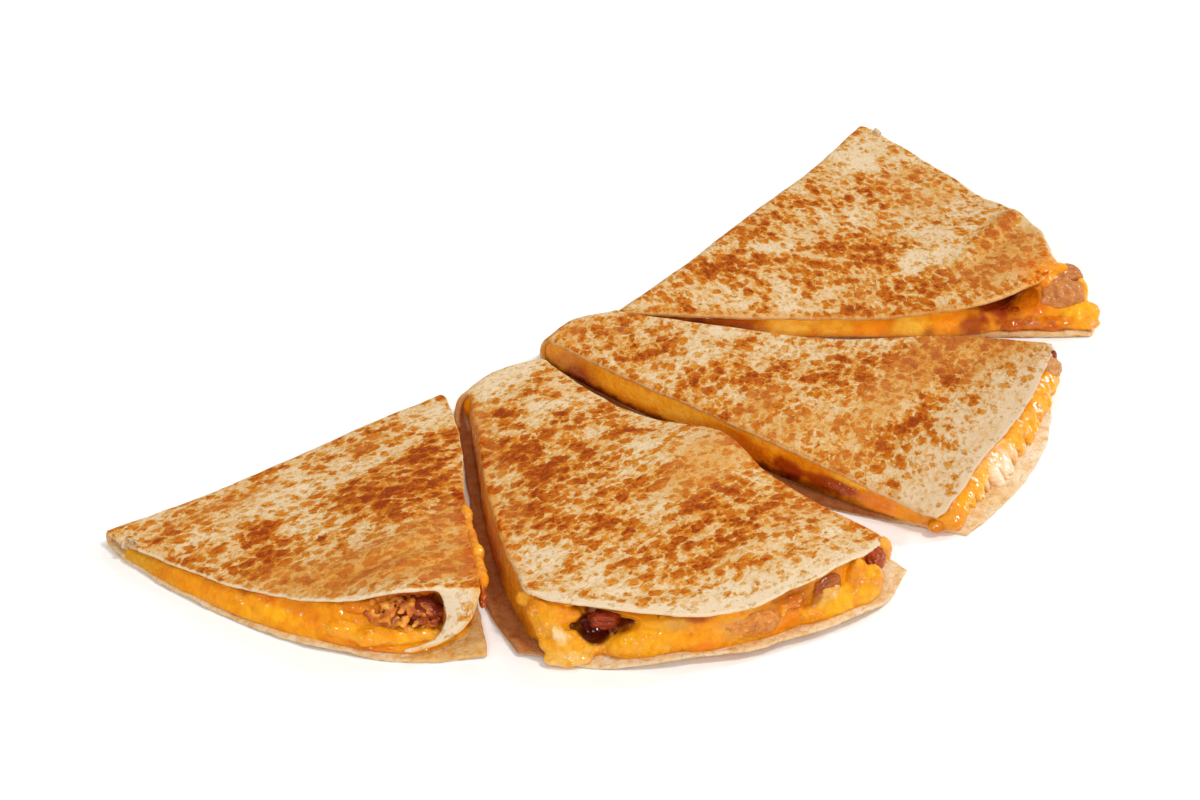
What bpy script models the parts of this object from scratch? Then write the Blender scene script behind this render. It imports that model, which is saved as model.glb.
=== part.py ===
"""Chicken and cheese quesadilla, cut in four.

A 10 inch flour tortilla is folded in half over melted cheese and chicken, griddled, and cut
into four wedges, which lie fanned a little apart and still keep the half-moon's shape.

Frame: metres, +Z up. The folded side runs along X and faces +Y, the open round rim faces -Y,
and the origin is the bottom centre of the bounding box. Wedges are numbered from -X to +X.
Lengths in the tables below are millimetres.
"""

import math

import bmesh
import bpy
import numpy as np
from mathutils import Euler, Vector, noise

MM = 0.001
SHEET = 1.5          # thickness of the tortilla
GAP = 0.45           # clearance between the filling and the tortilla
POCKET = 0.4         # clearance between a piece of chicken and the cheese that holds it
FOLD_DEPTH = 0.46    # how far the fold rounds out past its line, as a share of the height there
CENTRE_X, CENTRE_Y = 0.25, 0.10   # moves the whole so that its box is centred on the origin

# ---------------------------------------------------------------------------------------------
# Each wedge has a top and a bottom layer, joined round the fold. A layer has four corners:
#   A, B  the ends of its piece of fold, B toward +X
#   D, C  the ends of its rim, C toward +X
# and four sides: fold A-B, rim D-C, left A-D, right B-C. A side is straight but for its bow
# (mm to the right hand of its direction, at evenly spaced stations) and has a height profile.
# ---------------------------------------------------------------------------------------------
WEDGES = {
    1: dict(
        top=dict(
            A=(-139.6, 71.6), B=(-47.6, 52.2), C=(-108.4, -20.8), D=(-140.8, 65.0),
            fold=((0, 1.8, 1.4, 0.4, 0), (4.2, 5.4, 6.6, 7.8, 8.8)),
            rim=((0, 4.5, 9.0, 11, 12, 7.5, 0), (4.4, 5.4, 6.3, 7.5, 9.5, 14, 14.5)),
            left=((0,), (4.2, 4.4)),
            right=((0, -1.5, 0, 1, 0), (8.8, 10, 11.5, 13, 14.5)),
        ),
        bottom=dict(
            A=(-139.6, 71.6), B=(-47.8, 52.4), C=(-112.5, -25.5), D=(-141.3, 65.0),
            fold=((0, 1.8, 1.4, 0.4, 0), (0,)),
            rim=((0, 6, 10, 12.5, 12.5, 9, 0), (0,)),
            left=((0,), (0,)),
            right=((0,), (0,)),
        ),
        crown=0.8,
        # the corner of the open rim hangs down as a flap that tucks in over the bottom layer
        flap=dict(
            start=0.89,
            outer=((-108.4, -20.8, 14.5), (-110.0, -21.0, 12.0), (-111.2, -20.9, 9.2),
                   (-114.0, -20.0, 6.2), (-118.2, -18.2, 4.4), (-125.0, -14.6, 3.6)),
            inner=((-116.0, -12.4, 14.6), (-115.4, -14.2, 11.2), (-116.0, -15.8, 8.0),
                   (-118.0, -16.6, 5.6), (-121.4, -15.9, 4.2), (-126.0, -13.6, 3.7)),
        ),
    ),
    2: dict(
        top=dict(
            A=(-42.0, 48.4), B=(-18.8, 45.6), C=(-25.5, -71.0), D=(-102.0, -29.5),
            fold=((0, -2.5, 0), (9, 9.5, 9.5)),
            rim=((0, 9, 16, 18.5, 15, 9, 0), (13.5, 14, 13.2, 13, 13.8, 13.3, 11)),
            left=((0, 1.3, 2.6, 2.2, 0), (9, 10, 11, 12.5, 13.5)),
            right=((0, 3, 3, -3.2, 1, 1.5, 0), (9.5, 10.3, 11.3, 13, 12.3, 11.7, 11)),
        ),
        bottom=dict(
            A=(-46.6, 47.8), B=(-17.4, 45.0), C=(-20.5, -72.5), D=(-106.5, -30.0),
            fold=((0, -2.0, 0), (0,)),
            rim=((0, 9.8, 15, 17.6, 19.4, 18.4, 16.5, 12.3, 0), (0,)),
            left=((0, 1, 2.2, 3.3, 4, 0), (0,)),
            right=((0,), (0,)),
        ),
        crown=0.8,
    ),
    3: dict(
        top=dict(
            A=(-9.8, 51.2), B=(12.0, 48.4), C=(73.5, -44.0), D=(-3.6, -68.8),
            fold=((0, -3.0, 0), (9.5,)),
            rim=((0, 0.5, 1.2, 2.3, 2, 1, 0), (5.4, 7, 8.5, 9, 9, 9.3, 10.5)),
            left=((0, 2.5, 3, 4, 3, 0), (9.5, 10, 10.5, 10.5, 9, 5.4)),
            right=((0, 3.4, 5.0, 1.8, 0), (9.5, 9.4, 9.4, 11.2, 10.5)),
        ),
        bottom=dict(
            A=(-11.4, 51.2), B=(11.6, 48.4), C=(76.0, -40.0), D=(1.5, -73.0),
            fold=((0, -3.0, 0), (0,)),
            rim=((0, 4, 7, 8, 7, 4, 0), (0,)),
            left=((0, 6, 10, 13.2, 7.5, 0), (0,)),
            right=((0, 1.5, 0), (0,)),
        ),
        crown=0.6,
    ),
    4: dict(
        top=dict(
            A=(14.8, 48.8), B=(141.6, 75.6), C=(141.2, 70.0), D=(98.5, -24.5),
            fold=((0, 2.4, 2.6, 3.0, 0), (8.5, 8.3, 7.6, 6.2, 4.4)),
            rim=((0, 5.8, 7.7, 5.5, 4.4, 1.8, 0), (13, 13, 11.6, 8.2, 7, 6, 4.8)),
            left=((0, 3.2, 6.3, 9.4, 9.6, 0), (8.5, 8.1, 8, 8.2, 9.2, 13)),
            right=((0,), (4.4, 4.8)),
        ),
        bottom=dict(
            A=(15.0, 48.6), B=(141.6, 75.6), C=(141.6, 69.6), D=(97.0, -37.8),
            fold=((0, 2.4, 2.6, 3.0, 0), (0,)),
            rim=((0, 7.5, 8.6, 8, 7, 6, 4, 2.4, 0), (0,)),
            left=((0,), (0,)),
            right=((0,), (0,)),
        ),
        crown=1.0,
    ),
}

# The filling of each wedge, in the layer's own directions: s runs along the fold, r from the
# fold (0) to the rim (1). lean: how far its foot reaches from the top layer's outline toward
# the bottom layer's, at a cut and at the rim. dips: (s, r, width in s, width in r, depth mm),
# where the cheese has sunk away from the top layer and leaves a mouth. spills: (s, r, width in s,
# width in r, mm in X, mm in Y), where it has run out past the top layer.
CHEESE = {
    1: dict(s=(0.09, 0.985), r=(0.05, 0.985), lean=(0.2, 0.9), belly=0.7,
            dips=((0.80, 1.0, 0.16, 0.20, 8.0), (0.985, 1.05, 0.07, 0.25, 9.5)), spills=()),
    2: dict(s=(0.02, 0.985), r=(0.02, 0.985), lean=(0.12, 0.85), belly=1.0,
            dips=((0.26, 1.02, 0.11, 0.09, 5.0),), spills=((0.0, 1.0, 0.10, 0.10, -2.4, -2.6),)),
    3: dict(s=(0.02, 0.98), r=(0.02, 0.985), lean=(0.05, 0.75), belly=0.6,
            dips=((0.80, 1.02, 0.22, 0.06, 2.2),),
            spills=((0.72, 1.0, 0.30, 0.06, 0.7, -2.2), (0.0, 1.0, 0.10, 0.07, 2.6, -2.6))),
    4: dict(s=(0.02, 0.90), r=(0.04, 0.985), lean=(0.25, 0.85), belly=0.8,
            dips=((0.0, 0.86, 0.08, 0.07, 5.0),), spills=((0.0, 1.0, 0.14, 0.09, 5.6, -4.6),)),
}

# Pieces of chicken that show at the rim or at a cut: wedge, name, centre, half sizes, turn in
# degrees about Z, seed of its lumps.
CHICKEN = (
    (1, "chicken_a", (-121.4, -7.6, 7.0), (7.6, 4.6, 3.2), 128, 3),
    (2, "chicken_a", (-92.4, -43.6, 8.4), (4.6, 3.4, 2.8), 140, 5),
    (2, "chicken_b", (-48.4, -68.0, 7.8), (6.4, 3.6, 3.0), 172, 8),
    (2, "chicken_c", (-29.8, -71.4, 6.6), (3.2, 2.6, 2.6), 100, 11),
    (2, "chicken_d", (-67.4, -65.8, 6.0), (7.4, 3.2, 3.0), 152, 31),
    (3, "chicken_a", (-7.2, -41.0, 4.6), (11.0, 2.6, 1.8), 96, 14),
    (3, "chicken_b", (67.6, -44.2, 5.6), (5.0, 3.2, 2.8), 40, 17),
    (4, "chicken_a", (104.6, -22.6, 9.5), (4.4, 3.2, 2.3), 35, 20),
    (4, "chicken_b", (96.0, -28.0, 5.6), (5.6, 3.8, 3.1), 20, 23),
)

# name: colour (linear RGB), roughness
FINISH = {
    "tortilla": ((0.66, 0.43, 0.22), 0.55),
    "cheese": ((0.83, 0.33, 0.03), 0.25),
    "chicken": ((0.30, 0.11, 0.04), 0.50),
}


def curve(values, t):
    """A smooth curve through values at evenly spaced stations over t = 0..1."""
    v = np.asarray(values, float)
    t = np.asarray(t, float)
    n = len(v)
    if n == 1:
        return np.full(t.shape, v[0])
    step = 1 / (n - 1)
    slope = np.gradient(v, step)
    i = np.clip((np.clip(t, 0, 1) / step).astype(int), 0, n - 2)
    u = t / step - i
    return (
        (2 * u**3 - 3 * u**2 + 1) * v[i]
        + (u**3 - 2 * u**2 + u) * step * slope[i]
        + (3 * u**2 - 2 * u**3) * v[i + 1]
        + (u**3 - u**2) * step * slope[i + 1]
    )


def side(layer, name, t):
    """Points of one side of a layer at t = 0..1, with their heights."""
    start, end = {"fold": "AB", "rim": "DC", "left": "AD", "right": "BC"}[name]
    p, q = np.array(layer[start]), np.array(layer[end])
    along = q - p
    across = np.array([along[1], -along[0]]) / np.hypot(*along)
    bow, height = layer[name]
    t = np.asarray(t, float)
    xy = p + t[..., None] * along + curve(bow, t)[..., None] * across
    return np.concatenate([xy, curve(height, t)[..., None]], axis=-1)


def layer_at(layer, s, r, crown=0.0):
    """The layer's surface: a patch that meets its four sides, raised by crown in the middle."""
    s, r = np.broadcast_arrays(np.asarray(s, float), np.asarray(r, float))
    zero, one = np.zeros_like(s), np.ones_like(s)
    a, b = s[..., None], r[..., None]
    point = (
        (1 - b) * side(layer, "fold", s)
        + b * side(layer, "rim", s)
        + (1 - a) * side(layer, "left", r)
        + a * side(layer, "right", r)
        - (1 - a) * (1 - b) * side(layer, "fold", zero)
        - a * (1 - b) * side(layer, "fold", one)
        - (1 - a) * b * side(layer, "rim", zero)
        - a * b * side(layer, "rim", one)
    )
    point[..., 2] += crown * 4 * np.clip(s * (1 - s), 0, 1) * np.sin(math.pi * np.clip(r, 0, 1))
    return point


def fold_at(wedge, s, turn):
    """The rounded fold, from the top layer (turn 0) round to the bottom layer (turn pi)."""
    upper, lower = layer_at(wedge["top"], s, 0), layer_at(wedge["bottom"], s, 0)
    mix = 0.5 * (1 + np.cos(turn))[..., None]
    point = mix * upper + (1 - mix) * lower
    line = np.array(wedge["top"]["B"]) - np.array(wedge["top"]["A"])
    outward = np.array([-line[1], line[0]]) / np.hypot(*line)
    reach = FOLD_DEPTH * upper[..., 2] * np.sin(turn)
    point[..., :2] += reach[..., None] * outward
    return point


def make_object(name, points_mm, faces, finish):
    mesh = bpy.data.meshes.new(name)
    mesh.from_pydata([tuple(p) for p in np.asarray(points_mm) * MM], [], faces)
    mesh.update()
    obj = bpy.data.objects.new(name, mesh)
    bpy.context.scene.collection.objects.link(obj)
    mesh.materials.append(finish)
    mesh.shade_smooth()
    mesh.set_sharp_from_angle(angle=math.radians(50))
    return obj


def make_finish(name, colour, roughness):
    made = bpy.data.materials.new(name)
    made.use_nodes = True
    shader = made.node_tree.nodes["Principled BSDF"]
    shader.inputs["Base Color"].default_value = (*colour, 1)
    shader.inputs["Roughness"].default_value = roughness
    shader.inputs["Metallic"].default_value = 0.0
    return made


def tortilla(name, wedge, finish):
    """One sheet: top layer from the rim to the fold, round it, and back out as the bottom."""
    flap = wedge.get("flap")
    s = np.linspace(0, 1, 11)
    if flap:
        s = np.concatenate([np.linspace(0, flap["start"], 10), np.linspace(flap["start"], 1, 4)[1:]])
    rows = [layer_at(wedge["top"], s, np.full_like(s, r), wedge["crown"])
            for r in np.linspace(1, 0, 11)]
    rows += [fold_at(wedge, s, np.full_like(s, turn)) for turn in np.linspace(0, math.pi, 7)[1:-1]]
    rows += [layer_at(wedge["bottom"], s, np.full_like(s, r)) for r in (0, 0.25, 0.5, 0.75, 1)]
    points = [p for row in rows for p in row]
    wide = len(s)
    faces = [
        (j * wide + i, j * wide + i + 1, (j + 1) * wide + i + 1, (j + 1) * wide + i)
        for j in range(len(rows) - 1) for i in range(wide - 1)
    ]
    if flap:
        first = 9                                  # the column where the flap starts
        above = list(range(first, wide))           # its top row is the rim itself
        steps = 7
        for k in range(1, steps + 1):
            b = np.full(1, k / steps)
            outer = np.array([curve(np.array(flap["outer"])[:, c], b)[0] for c in range(3)])
            inner = np.array([curve(np.array(flap["inner"])[:, c], b)[0] for c in range(3)])
            below = []
            for i in range(first, wide):
                share = (s[i] - flap["start"]) / (1 - flap["start"])
                below.append(len(points))
                points.append(inner + share * (outer - inner))
            faces += [(below[i], below[i + 1], above[i + 1], above[i]) for i in range(len(above) - 1)]
            above = below
    obj = make_object(name, points, faces, finish)
    thick = obj.modifiers.new("thickness", "SOLIDIFY")
    thick.thickness = SHEET * MM
    thick.offset = -1
    thick.use_even_offset = True
    return obj


def cheese_top(number, s, r):
    """Height of the filling: just under the top layer, less its dips."""
    wedge, fill = WEDGES[number], CHEESE[number]
    z = layer_at(wedge["top"], s, r, wedge["crown"])[..., 2] - SHEET - GAP
    for at_s, at_r, wide_s, wide_r, depth in fill["dips"]:
        z = z - depth * np.exp(-(((s - at_s) / wide_s) ** 2) - ((r - at_r) / wide_r) ** 2)
    return np.maximum(z, SHEET + GAP + 0.6)


def cheese_at(number, s, r, w):
    """The filling's body: w runs from its foot on the bottom layer (0) to its top (1)."""
    wedge, fill = WEDGES[number], CHEESE[number]
    swell = 1 - (2 * w - 1) ** 2
    s_at = fill["s"][0] + s * (fill["s"][1] - fill["s"][0])
    r_at = fill["r"][0] + r * (fill["r"][1] - fill["r"][0])
    upper = layer_at(wedge["top"], s_at, r_at, wedge["crown"])
    lower = layer_at(wedge["bottom"], s_at, r_at)
    lean = fill["lean"][0] + (fill["lean"][1] - fill["lean"][0]) * r_at**3
    share = (lean * (1 - w) ** 1.3)[..., None]
    point = upper + share * (lower - upper)
    # the belly: cut sides and rim bulge a little between the layers
    middle = layer_at(wedge["top"], 0.5, 0.55)
    for at_s, at_r, wide_s, wide_r, run_x, run_y in fill["spills"]:
        near = np.exp(-(((s_at - at_s) / wide_s) ** 2) - ((r_at - at_r) / wide_r) ** 2)
        point[..., :2] += (near * (1 - w**5))[..., None] * np.array([run_x, run_y])
    away = point[..., :2] - middle[:2]
    away = away / np.maximum(np.hypot(away[..., 0], away[..., 1]), 1)[..., None]
    at_edge = (np.minimum(np.minimum(s, 1 - s), 1 - r) < 1e-6).astype(float)
    point[..., :2] += (fill["belly"] * swell * at_edge)[..., None] * away
    foot = SHEET + GAP
    point[..., 2] = foot + w * (cheese_top(number, s_at, r_at) - foot)
    return point


def closed_block(at, cells_s, cells_r, cells_w):
    """A closed mesh of the six faces of the block (s, r, w) in 0..1, placed by at(s, r, w)."""
    index, params = {}, []

    def corner(i, j, k):
        if (i, j, k) not in index:
            index[i, j, k] = len(params)
            params.append((i / cells_s, j / cells_r, k / cells_w))
        return index[i, j, k]

    faces = []
    for i in range(cells_s):
        for j in range(cells_r):
            for k, flip in ((0, True), (cells_w, False)):
                ring = [corner(i, j, k), corner(i, j + 1, k), corner(i + 1, j + 1, k), corner(i + 1, j, k)]
                faces.append(ring[::-1] if flip else ring)
    for i in range(cells_s):
        for k in range(cells_w):
            for j, flip in ((0, True), (cells_r, False)):
                ring = [corner(i, j, k), corner(i + 1, j, k), corner(i + 1, j, k + 1), corner(i, j, k + 1)]
                faces.append(ring[::-1] if flip else ring)
    for j in range(cells_r):
        for k in range(cells_w):
            for i, flip in ((0, False), (cells_s, True)):
                ring = [corner(i, j, k), corner(i, j + 1, k), corner(i, j + 1, k + 1), corner(i, j, k + 1)]
                faces.append(ring[::-1] if flip else ring)
    s, r, w = np.array(params).T
    return at(s, r, w), faces


def lump(name, half, seed, finish, grow=0.0):
    """A torn piece of chicken: a rounded block with uneven lumps, grown outward by grow."""
    mesh = bpy.data.meshes.new(name)
    piece = bpy.data.objects.new(name, mesh)
    bpy.context.scene.collection.objects.link(piece)
    count, rings = 12, 7
    points, faces = [], []
    for j in range(1, rings):
        tilt = math.pi * j / rings
        for i in range(count):
            turn = 2 * math.pi * (i + 0.5 * (j % 2)) / count
            points.append(Vector((math.sin(tilt) * math.cos(turn), math.sin(tilt) * math.sin(turn), math.cos(tilt))))
    top, bottom = len(points), len(points) + 1
    points += [Vector((0, 0, 1)), Vector((0, 0, -1))]
    for j in range(rings - 2):
        for i in range(count):
            a, b = j * count + i, j * count + (i + 1) % count
            c, d = a + count, b + count
            # alternate rings are turned by half a step, so the diagonal alternates too
            if j % 2 == 0:
                faces += [(a, c, b), (b, c, d)]
            else:
                faces += [(a, c, d), (a, d, b)]
    last = (rings - 2) * count
    for i in range(count):
        faces.append((top, i, (i + 1) % count))
        faces.append((bottom, last + (i + 1) % count, last + i))
    made = []
    for p in points:
        blocky = max(abs(p.x), abs(p.y), abs(p.z)) ** -0.35
        rough = 1 + 0.16 * noise.noise(p * 1.7 + Vector((seed, 0, 0)))
        q = Vector((p.x * half[0], p.y * half[1], p.z * half[2])) * blocky * rough
        q += grow * p
        made.append(tuple(q * MM))
    mesh.from_pydata(made, [], faces)
    mesh.update()
    mesh.materials.append(finish)
    mesh.shade_smooth()
    mesh.set_sharp_from_angle(angle=math.radians(50))
    return piece


def drop_crumbs(obj):
    """Applies the object's modifiers and keeps its largest piece, without crumbs cut loose."""
    bpy.context.view_layer.update()
    graph = bpy.context.evaluated_depsgraph_get()
    mesh = bpy.data.meshes.new_from_object(obj.evaluated_get(graph))
    obj.modifiers.clear()
    obj.data = mesh
    work = bmesh.new()
    work.from_mesh(mesh)
    left, pieces = set(work.verts), []
    while left:
        piece, edge = set(), [left.pop()]
        while edge:
            vert = edge.pop()
            piece.add(vert)
            for link in vert.link_edges:
                other = link.other_vert(vert)
                if other in left:
                    left.discard(other)
                    edge.append(other)
        pieces.append(piece)
    for piece in sorted(pieces, key=len)[:-1]:
        bmesh.ops.delete(work, geom=list(piece), context="VERTS")
    work.to_mesh(mesh)
    work.free()


def main():
    for obj in list(bpy.data.objects):
        bpy.data.objects.remove(obj, do_unlink=True)

    whole = bpy.data.objects.new("quesadilla", None)
    bpy.context.scene.collection.objects.link(whole)
    whole.location = (CENTRE_X * MM, CENTRE_Y * MM, 0)

    for number, wedge in WEDGES.items():
        prefix = f"wedge{number}_"
        finish = make_finish(prefix + "tortilla", *FINISH["tortilla"])
        sheet = tortilla(prefix + "tortilla", wedge, finish)
        sheet.parent = whole
        points, faces = closed_block(
            lambda s, r, w, n=number: cheese_at(n, s, r, w), 14, 10, 3
        )
        finish = make_finish(prefix + "cheese", *FINISH["cheese"])
        cheese = make_object(prefix + "cheese", points, faces, finish)
        cheese.parent = whole
        for owner, name, centre, half, turn, seed in CHICKEN:
            if owner != number:
                continue
            finish = make_finish(prefix + name, *FINISH["chicken"])
            piece = lump(prefix + name, half, seed, finish)
            cutter = lump(prefix + name + "_pocket", half, seed, finish, grow=POCKET)
            cutter.hide_render = True
            cutter.display_type = "WIRE"
            for obj in (piece, cutter):
                obj.parent = whole
                obj.location = Vector(centre) * MM
                obj.rotation_euler = Euler((0, 0, math.radians(turn)))
            cut = cheese.modifiers.new(name, "BOOLEAN")
            cut.operation = "DIFFERENCE"
            cut.solver = "EXACT"
            cut.object = cutter
        drop_crumbs(cheese)


main()
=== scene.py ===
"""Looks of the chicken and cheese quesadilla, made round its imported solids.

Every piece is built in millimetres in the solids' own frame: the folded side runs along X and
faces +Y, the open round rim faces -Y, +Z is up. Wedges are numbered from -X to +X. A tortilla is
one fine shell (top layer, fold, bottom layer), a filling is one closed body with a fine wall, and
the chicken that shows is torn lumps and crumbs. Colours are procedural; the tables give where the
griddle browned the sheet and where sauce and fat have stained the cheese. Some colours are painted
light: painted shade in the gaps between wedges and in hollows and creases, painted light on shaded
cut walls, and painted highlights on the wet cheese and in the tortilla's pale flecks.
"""

import math

import bpy
import numpy as np
from mathutils import Matrix, Vector
from mathutils.geometry import delaunay_2d_cdt


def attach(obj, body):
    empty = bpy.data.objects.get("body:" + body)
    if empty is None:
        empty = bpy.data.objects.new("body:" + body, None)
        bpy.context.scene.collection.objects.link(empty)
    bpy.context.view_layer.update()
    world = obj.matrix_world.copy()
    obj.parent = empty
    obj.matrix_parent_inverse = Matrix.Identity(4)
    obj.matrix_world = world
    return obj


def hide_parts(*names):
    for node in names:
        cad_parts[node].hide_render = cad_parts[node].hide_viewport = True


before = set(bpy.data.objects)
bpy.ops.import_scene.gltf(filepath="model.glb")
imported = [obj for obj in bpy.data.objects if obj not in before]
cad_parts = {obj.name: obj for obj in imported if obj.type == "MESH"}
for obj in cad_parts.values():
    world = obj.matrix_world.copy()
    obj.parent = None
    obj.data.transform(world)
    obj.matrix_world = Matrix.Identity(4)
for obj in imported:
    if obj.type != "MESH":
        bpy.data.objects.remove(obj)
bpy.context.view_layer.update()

MM = 0.001
SHEET = 1.5
FOLD_DEPTH = 0.46
CENTRE = np.array([0.25, 0.10, 0.0])

# ---------------------------------------------------------------------------------------------
# camera
# ---------------------------------------------------------------------------------------------
VIEW_TURN, VIEW_DROP, VIEW_FAR = math.radians(47), math.radians(31), 1.0
target = Vector((-0.01175, 0.0331, 0.0))
ahead = Vector((
    math.sin(VIEW_TURN) * math.cos(VIEW_DROP),
    math.cos(VIEW_TURN) * math.cos(VIEW_DROP),
    -math.sin(VIEW_DROP),
))
across = Vector((math.cos(VIEW_TURN), -math.sin(VIEW_TURN), 0))
upward = across.cross(ahead)
lens = bpy.data.cameras.new("camera")
lens.lens, lens.sensor_width, lens.sensor_fit = 120.0, 36.0, "HORIZONTAL"
lens.clip_start, lens.clip_end = 0.05, 20
camera = bpy.data.objects.new("camera", lens)
bpy.context.scene.collection.objects.link(camera)
place = Matrix((across, upward, -ahead)).transposed().to_4x4()
place.translation = target - ahead * VIEW_FAR
camera.matrix_world = place
bpy.context.scene.camera = camera

# ---------------------------------------------------------------------------------------------
# the wedges: the solids' own measures, in mm (see the functions below for what they mean)
# ---------------------------------------------------------------------------------------------
WEDGES = {
    1: dict(
        top=dict(
            A=(-139.6, 71.6), B=(-47.6, 52.2), C=(-108.4, -20.8), D=(-140.8, 65.0),
            fold=((0, 1.8, 1.4, 0.4, 0), (4.2, 5.4, 6.6, 7.8, 8.8)),
            rim=((0, 4.5, 9.0, 11, 11.4, 6.8, 0), (4.4, 5.6, 7.0, 8.6, 11.4, 15.0, 14.5)),
            left=((0,), (4.2, 4.4)),
            right=((0, -1.5, 0, 1, 0), (8.8, 10, 11.5, 13, 14.5)),
        ),
        bottom=dict(
            A=(-139.6, 71.6), B=(-47.8, 52.4), C=(-112.5, -25.5), D=(-141.3, 65.0),
            fold=((0, 1.8, 1.4, 0.4, 0), (0,)),
            rim=((0, 6, 10, 12.5, 12.5, 9, 0), (0,)),
            left=((0,), (0,)),
            right=((0,), (0,)),
        ),
        crown=0.8,
        flap=dict(
            start=0.89,
            outer=((-108.4, -20.8, 14.5), (-110.0, -21.0, 12.0), (-111.2, -20.9, 9.2),
                   (-114.0, -20.0, 6.2), (-118.2, -18.2, 4.4), (-125.0, -14.6, 3.6)),
            inner=((-116.0, -12.4, 14.6), (-115.4, -14.2, 11.2), (-116.0, -15.8, 8.0),
                   (-118.0, -16.6, 5.6), (-121.4, -15.9, 4.2), (-126.0, -13.6, 3.7)),
        ),
    ),
    2: dict(
        top=dict(
            A=(-42.0, 48.4), B=(-18.8, 45.6), C=(-25.5, -71.0), D=(-102.0, -29.5),
            fold=((0, -2.5, 0), (9, 9.5, 9.5)),
            rim=((0, 9, 16, 18.5, 15, 9, 0), (13.5, 14, 13.2, 13, 13.8, 13.3, 11)),
            left=((0, 1.3, 2.6, 2.2, 0), (9, 10, 11, 12.5, 13.5)),
            right=((0, 3, 3, -3.2, 1, 1.5, 0), (9.5, 10.3, 11.3, 13, 12.3, 11.7, 11)),
        ),
        bottom=dict(
            A=(-46.6, 47.8), B=(-17.4, 45.0), C=(-20.5, -72.5), D=(-106.5, -30.0),
            fold=((0, -2.0, 0), (0,)),
            rim=((0, 9.8, 15, 17.6, 19.4, 18.4, 16.5, 12.3, 0), (0,)),
            left=((0, 1, 2.2, 3.3, 4, 0), (0,)),
            right=((0,), (0,)),
        ),
        crown=0.8,
    ),
    3: dict(
        top=dict(
            A=(-9.8, 51.2), B=(12.0, 48.4), C=(73.5, -44.0), D=(-3.6, -68.8),
            fold=((0, -3.0, 0), (9.5,)),
            rim=((0, 0.5, 1.2, 2.3, 2, 1, 0), (5.4, 7, 8.5, 9, 9, 9.3, 10.5)),
            left=((0, 2.5, 3, 4, 3, 0), (9.5, 10, 10.5, 10.5, 9, 5.4)),
            right=((0, 3.4, 5.0, 1.8, 0), (9.5, 9.4, 9.4, 11.2, 10.5)),
        ),
        bottom=dict(
            A=(-11.4, 51.2), B=(11.6, 48.4), C=(76.0, -40.0), D=(1.5, -73.0),
            fold=((0, -3.0, 0), (0,)),
            rim=((0, 4, 7, 8, 7, 4, 0), (0,)),
            left=((0, 6, 10, 13.2, 7.5, 0), (0,)),
            right=((0, 1.5, 0), (0,)),
        ),
        crown=0.6,
    ),
    4: dict(
        top=dict(
            A=(14.8, 48.8), B=(141.6, 75.6), C=(141.2, 70.0), D=(98.5, -24.5),
            fold=((0, 2.4, 2.6, 3.0, 0), (8.5, 8.3, 7.6, 6.2, 4.4)),
            rim=((0, 5.8, 7.7, 5.5, 4.4, 1.8, 0), (13, 13, 11.6, 8.2, 7, 6, 4.8)),
            left=((0, 3.2, 6.3, 9.2, 9.2, 0), (8.5, 8.1, 8, 8.8, 11.2, 13.4)),
            right=((0,), (4.4, 4.8)),
        ),
        bottom=dict(
            A=(15.0, 48.6), B=(141.6, 75.6), C=(141.6, 69.6), D=(97.0, -37.8),
            fold=((0, 2.4, 2.6, 3.0, 0), (0,)),
            rim=((0, 7.5, 8.6, 8, 7, 6, 4, 2.4, 0), (0,)),
            left=((0,), (0,)),
            right=((0,), (0,)),
        ),
        crown=1.0,
    ),
}

# How the filling's wall stands, by side (left, rim, right): lean toward the bottom layer's
# outline, belly in mm, flare of the foot in mm, depth of its lumps in mm. The dips are
# (s, r, width in s, width in r, mm) and the spills (s, r, width in s, width in r, mm in X, in Y).
FILLING = {
    1: dict(lean=(0.2, 0.8, 0.3), belly=(0.3, 0.7, 0.5), flare=(0.2, 0.5, 0.2), lumps=(0.2, 0.35, 0.4),
            dips=((0.85, 1.0, 0.11, 0.20, 9.0), (0.985, 1.05, 0.07, 0.25, 9.5)), spills=(),
            corners=(2.2, 15.0)),
    2: dict(lean=(0.14, 0.05, 0.3), belly=(0.6, 0.3, 0.8), flare=(0.3, 0.3, 0.5), lumps=(0.4, 0.5, 0.5),
            dips=((0.26, 1.02, 0.11, 0.06, 2.6),), spills=(), corners=(3.0, 4.0)),
    3: dict(lean=(0.08, 0.32, 0.3), belly=(0.25, 0.6, 0.6), flare=(0.2, 0.5, 0.4), lumps=(0.18, 0.4, 0.4),
            dips=((0.80, 1.02, 0.22, 0.06, 1.2),),
            spills=((0.0, 1.0, 0.10, 0.07, 2.0, -2.2),), corners=(2.2, 4.0)),
    4: dict(lean=(0.28, 0.7, 0.3), belly=(0.4, 0.7, 0.5), flare=(0.3, 0.4, 0.3), lumps=(0.35, 0.45, 0.3),
            dips=((0.0, 0.86, 0.08, 0.07, 4.0),), spills=((0.0, 1.0, 0.14, 0.09, 2.6, -2.6),),
            corners=(4.0, 2.2)),
}

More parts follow.
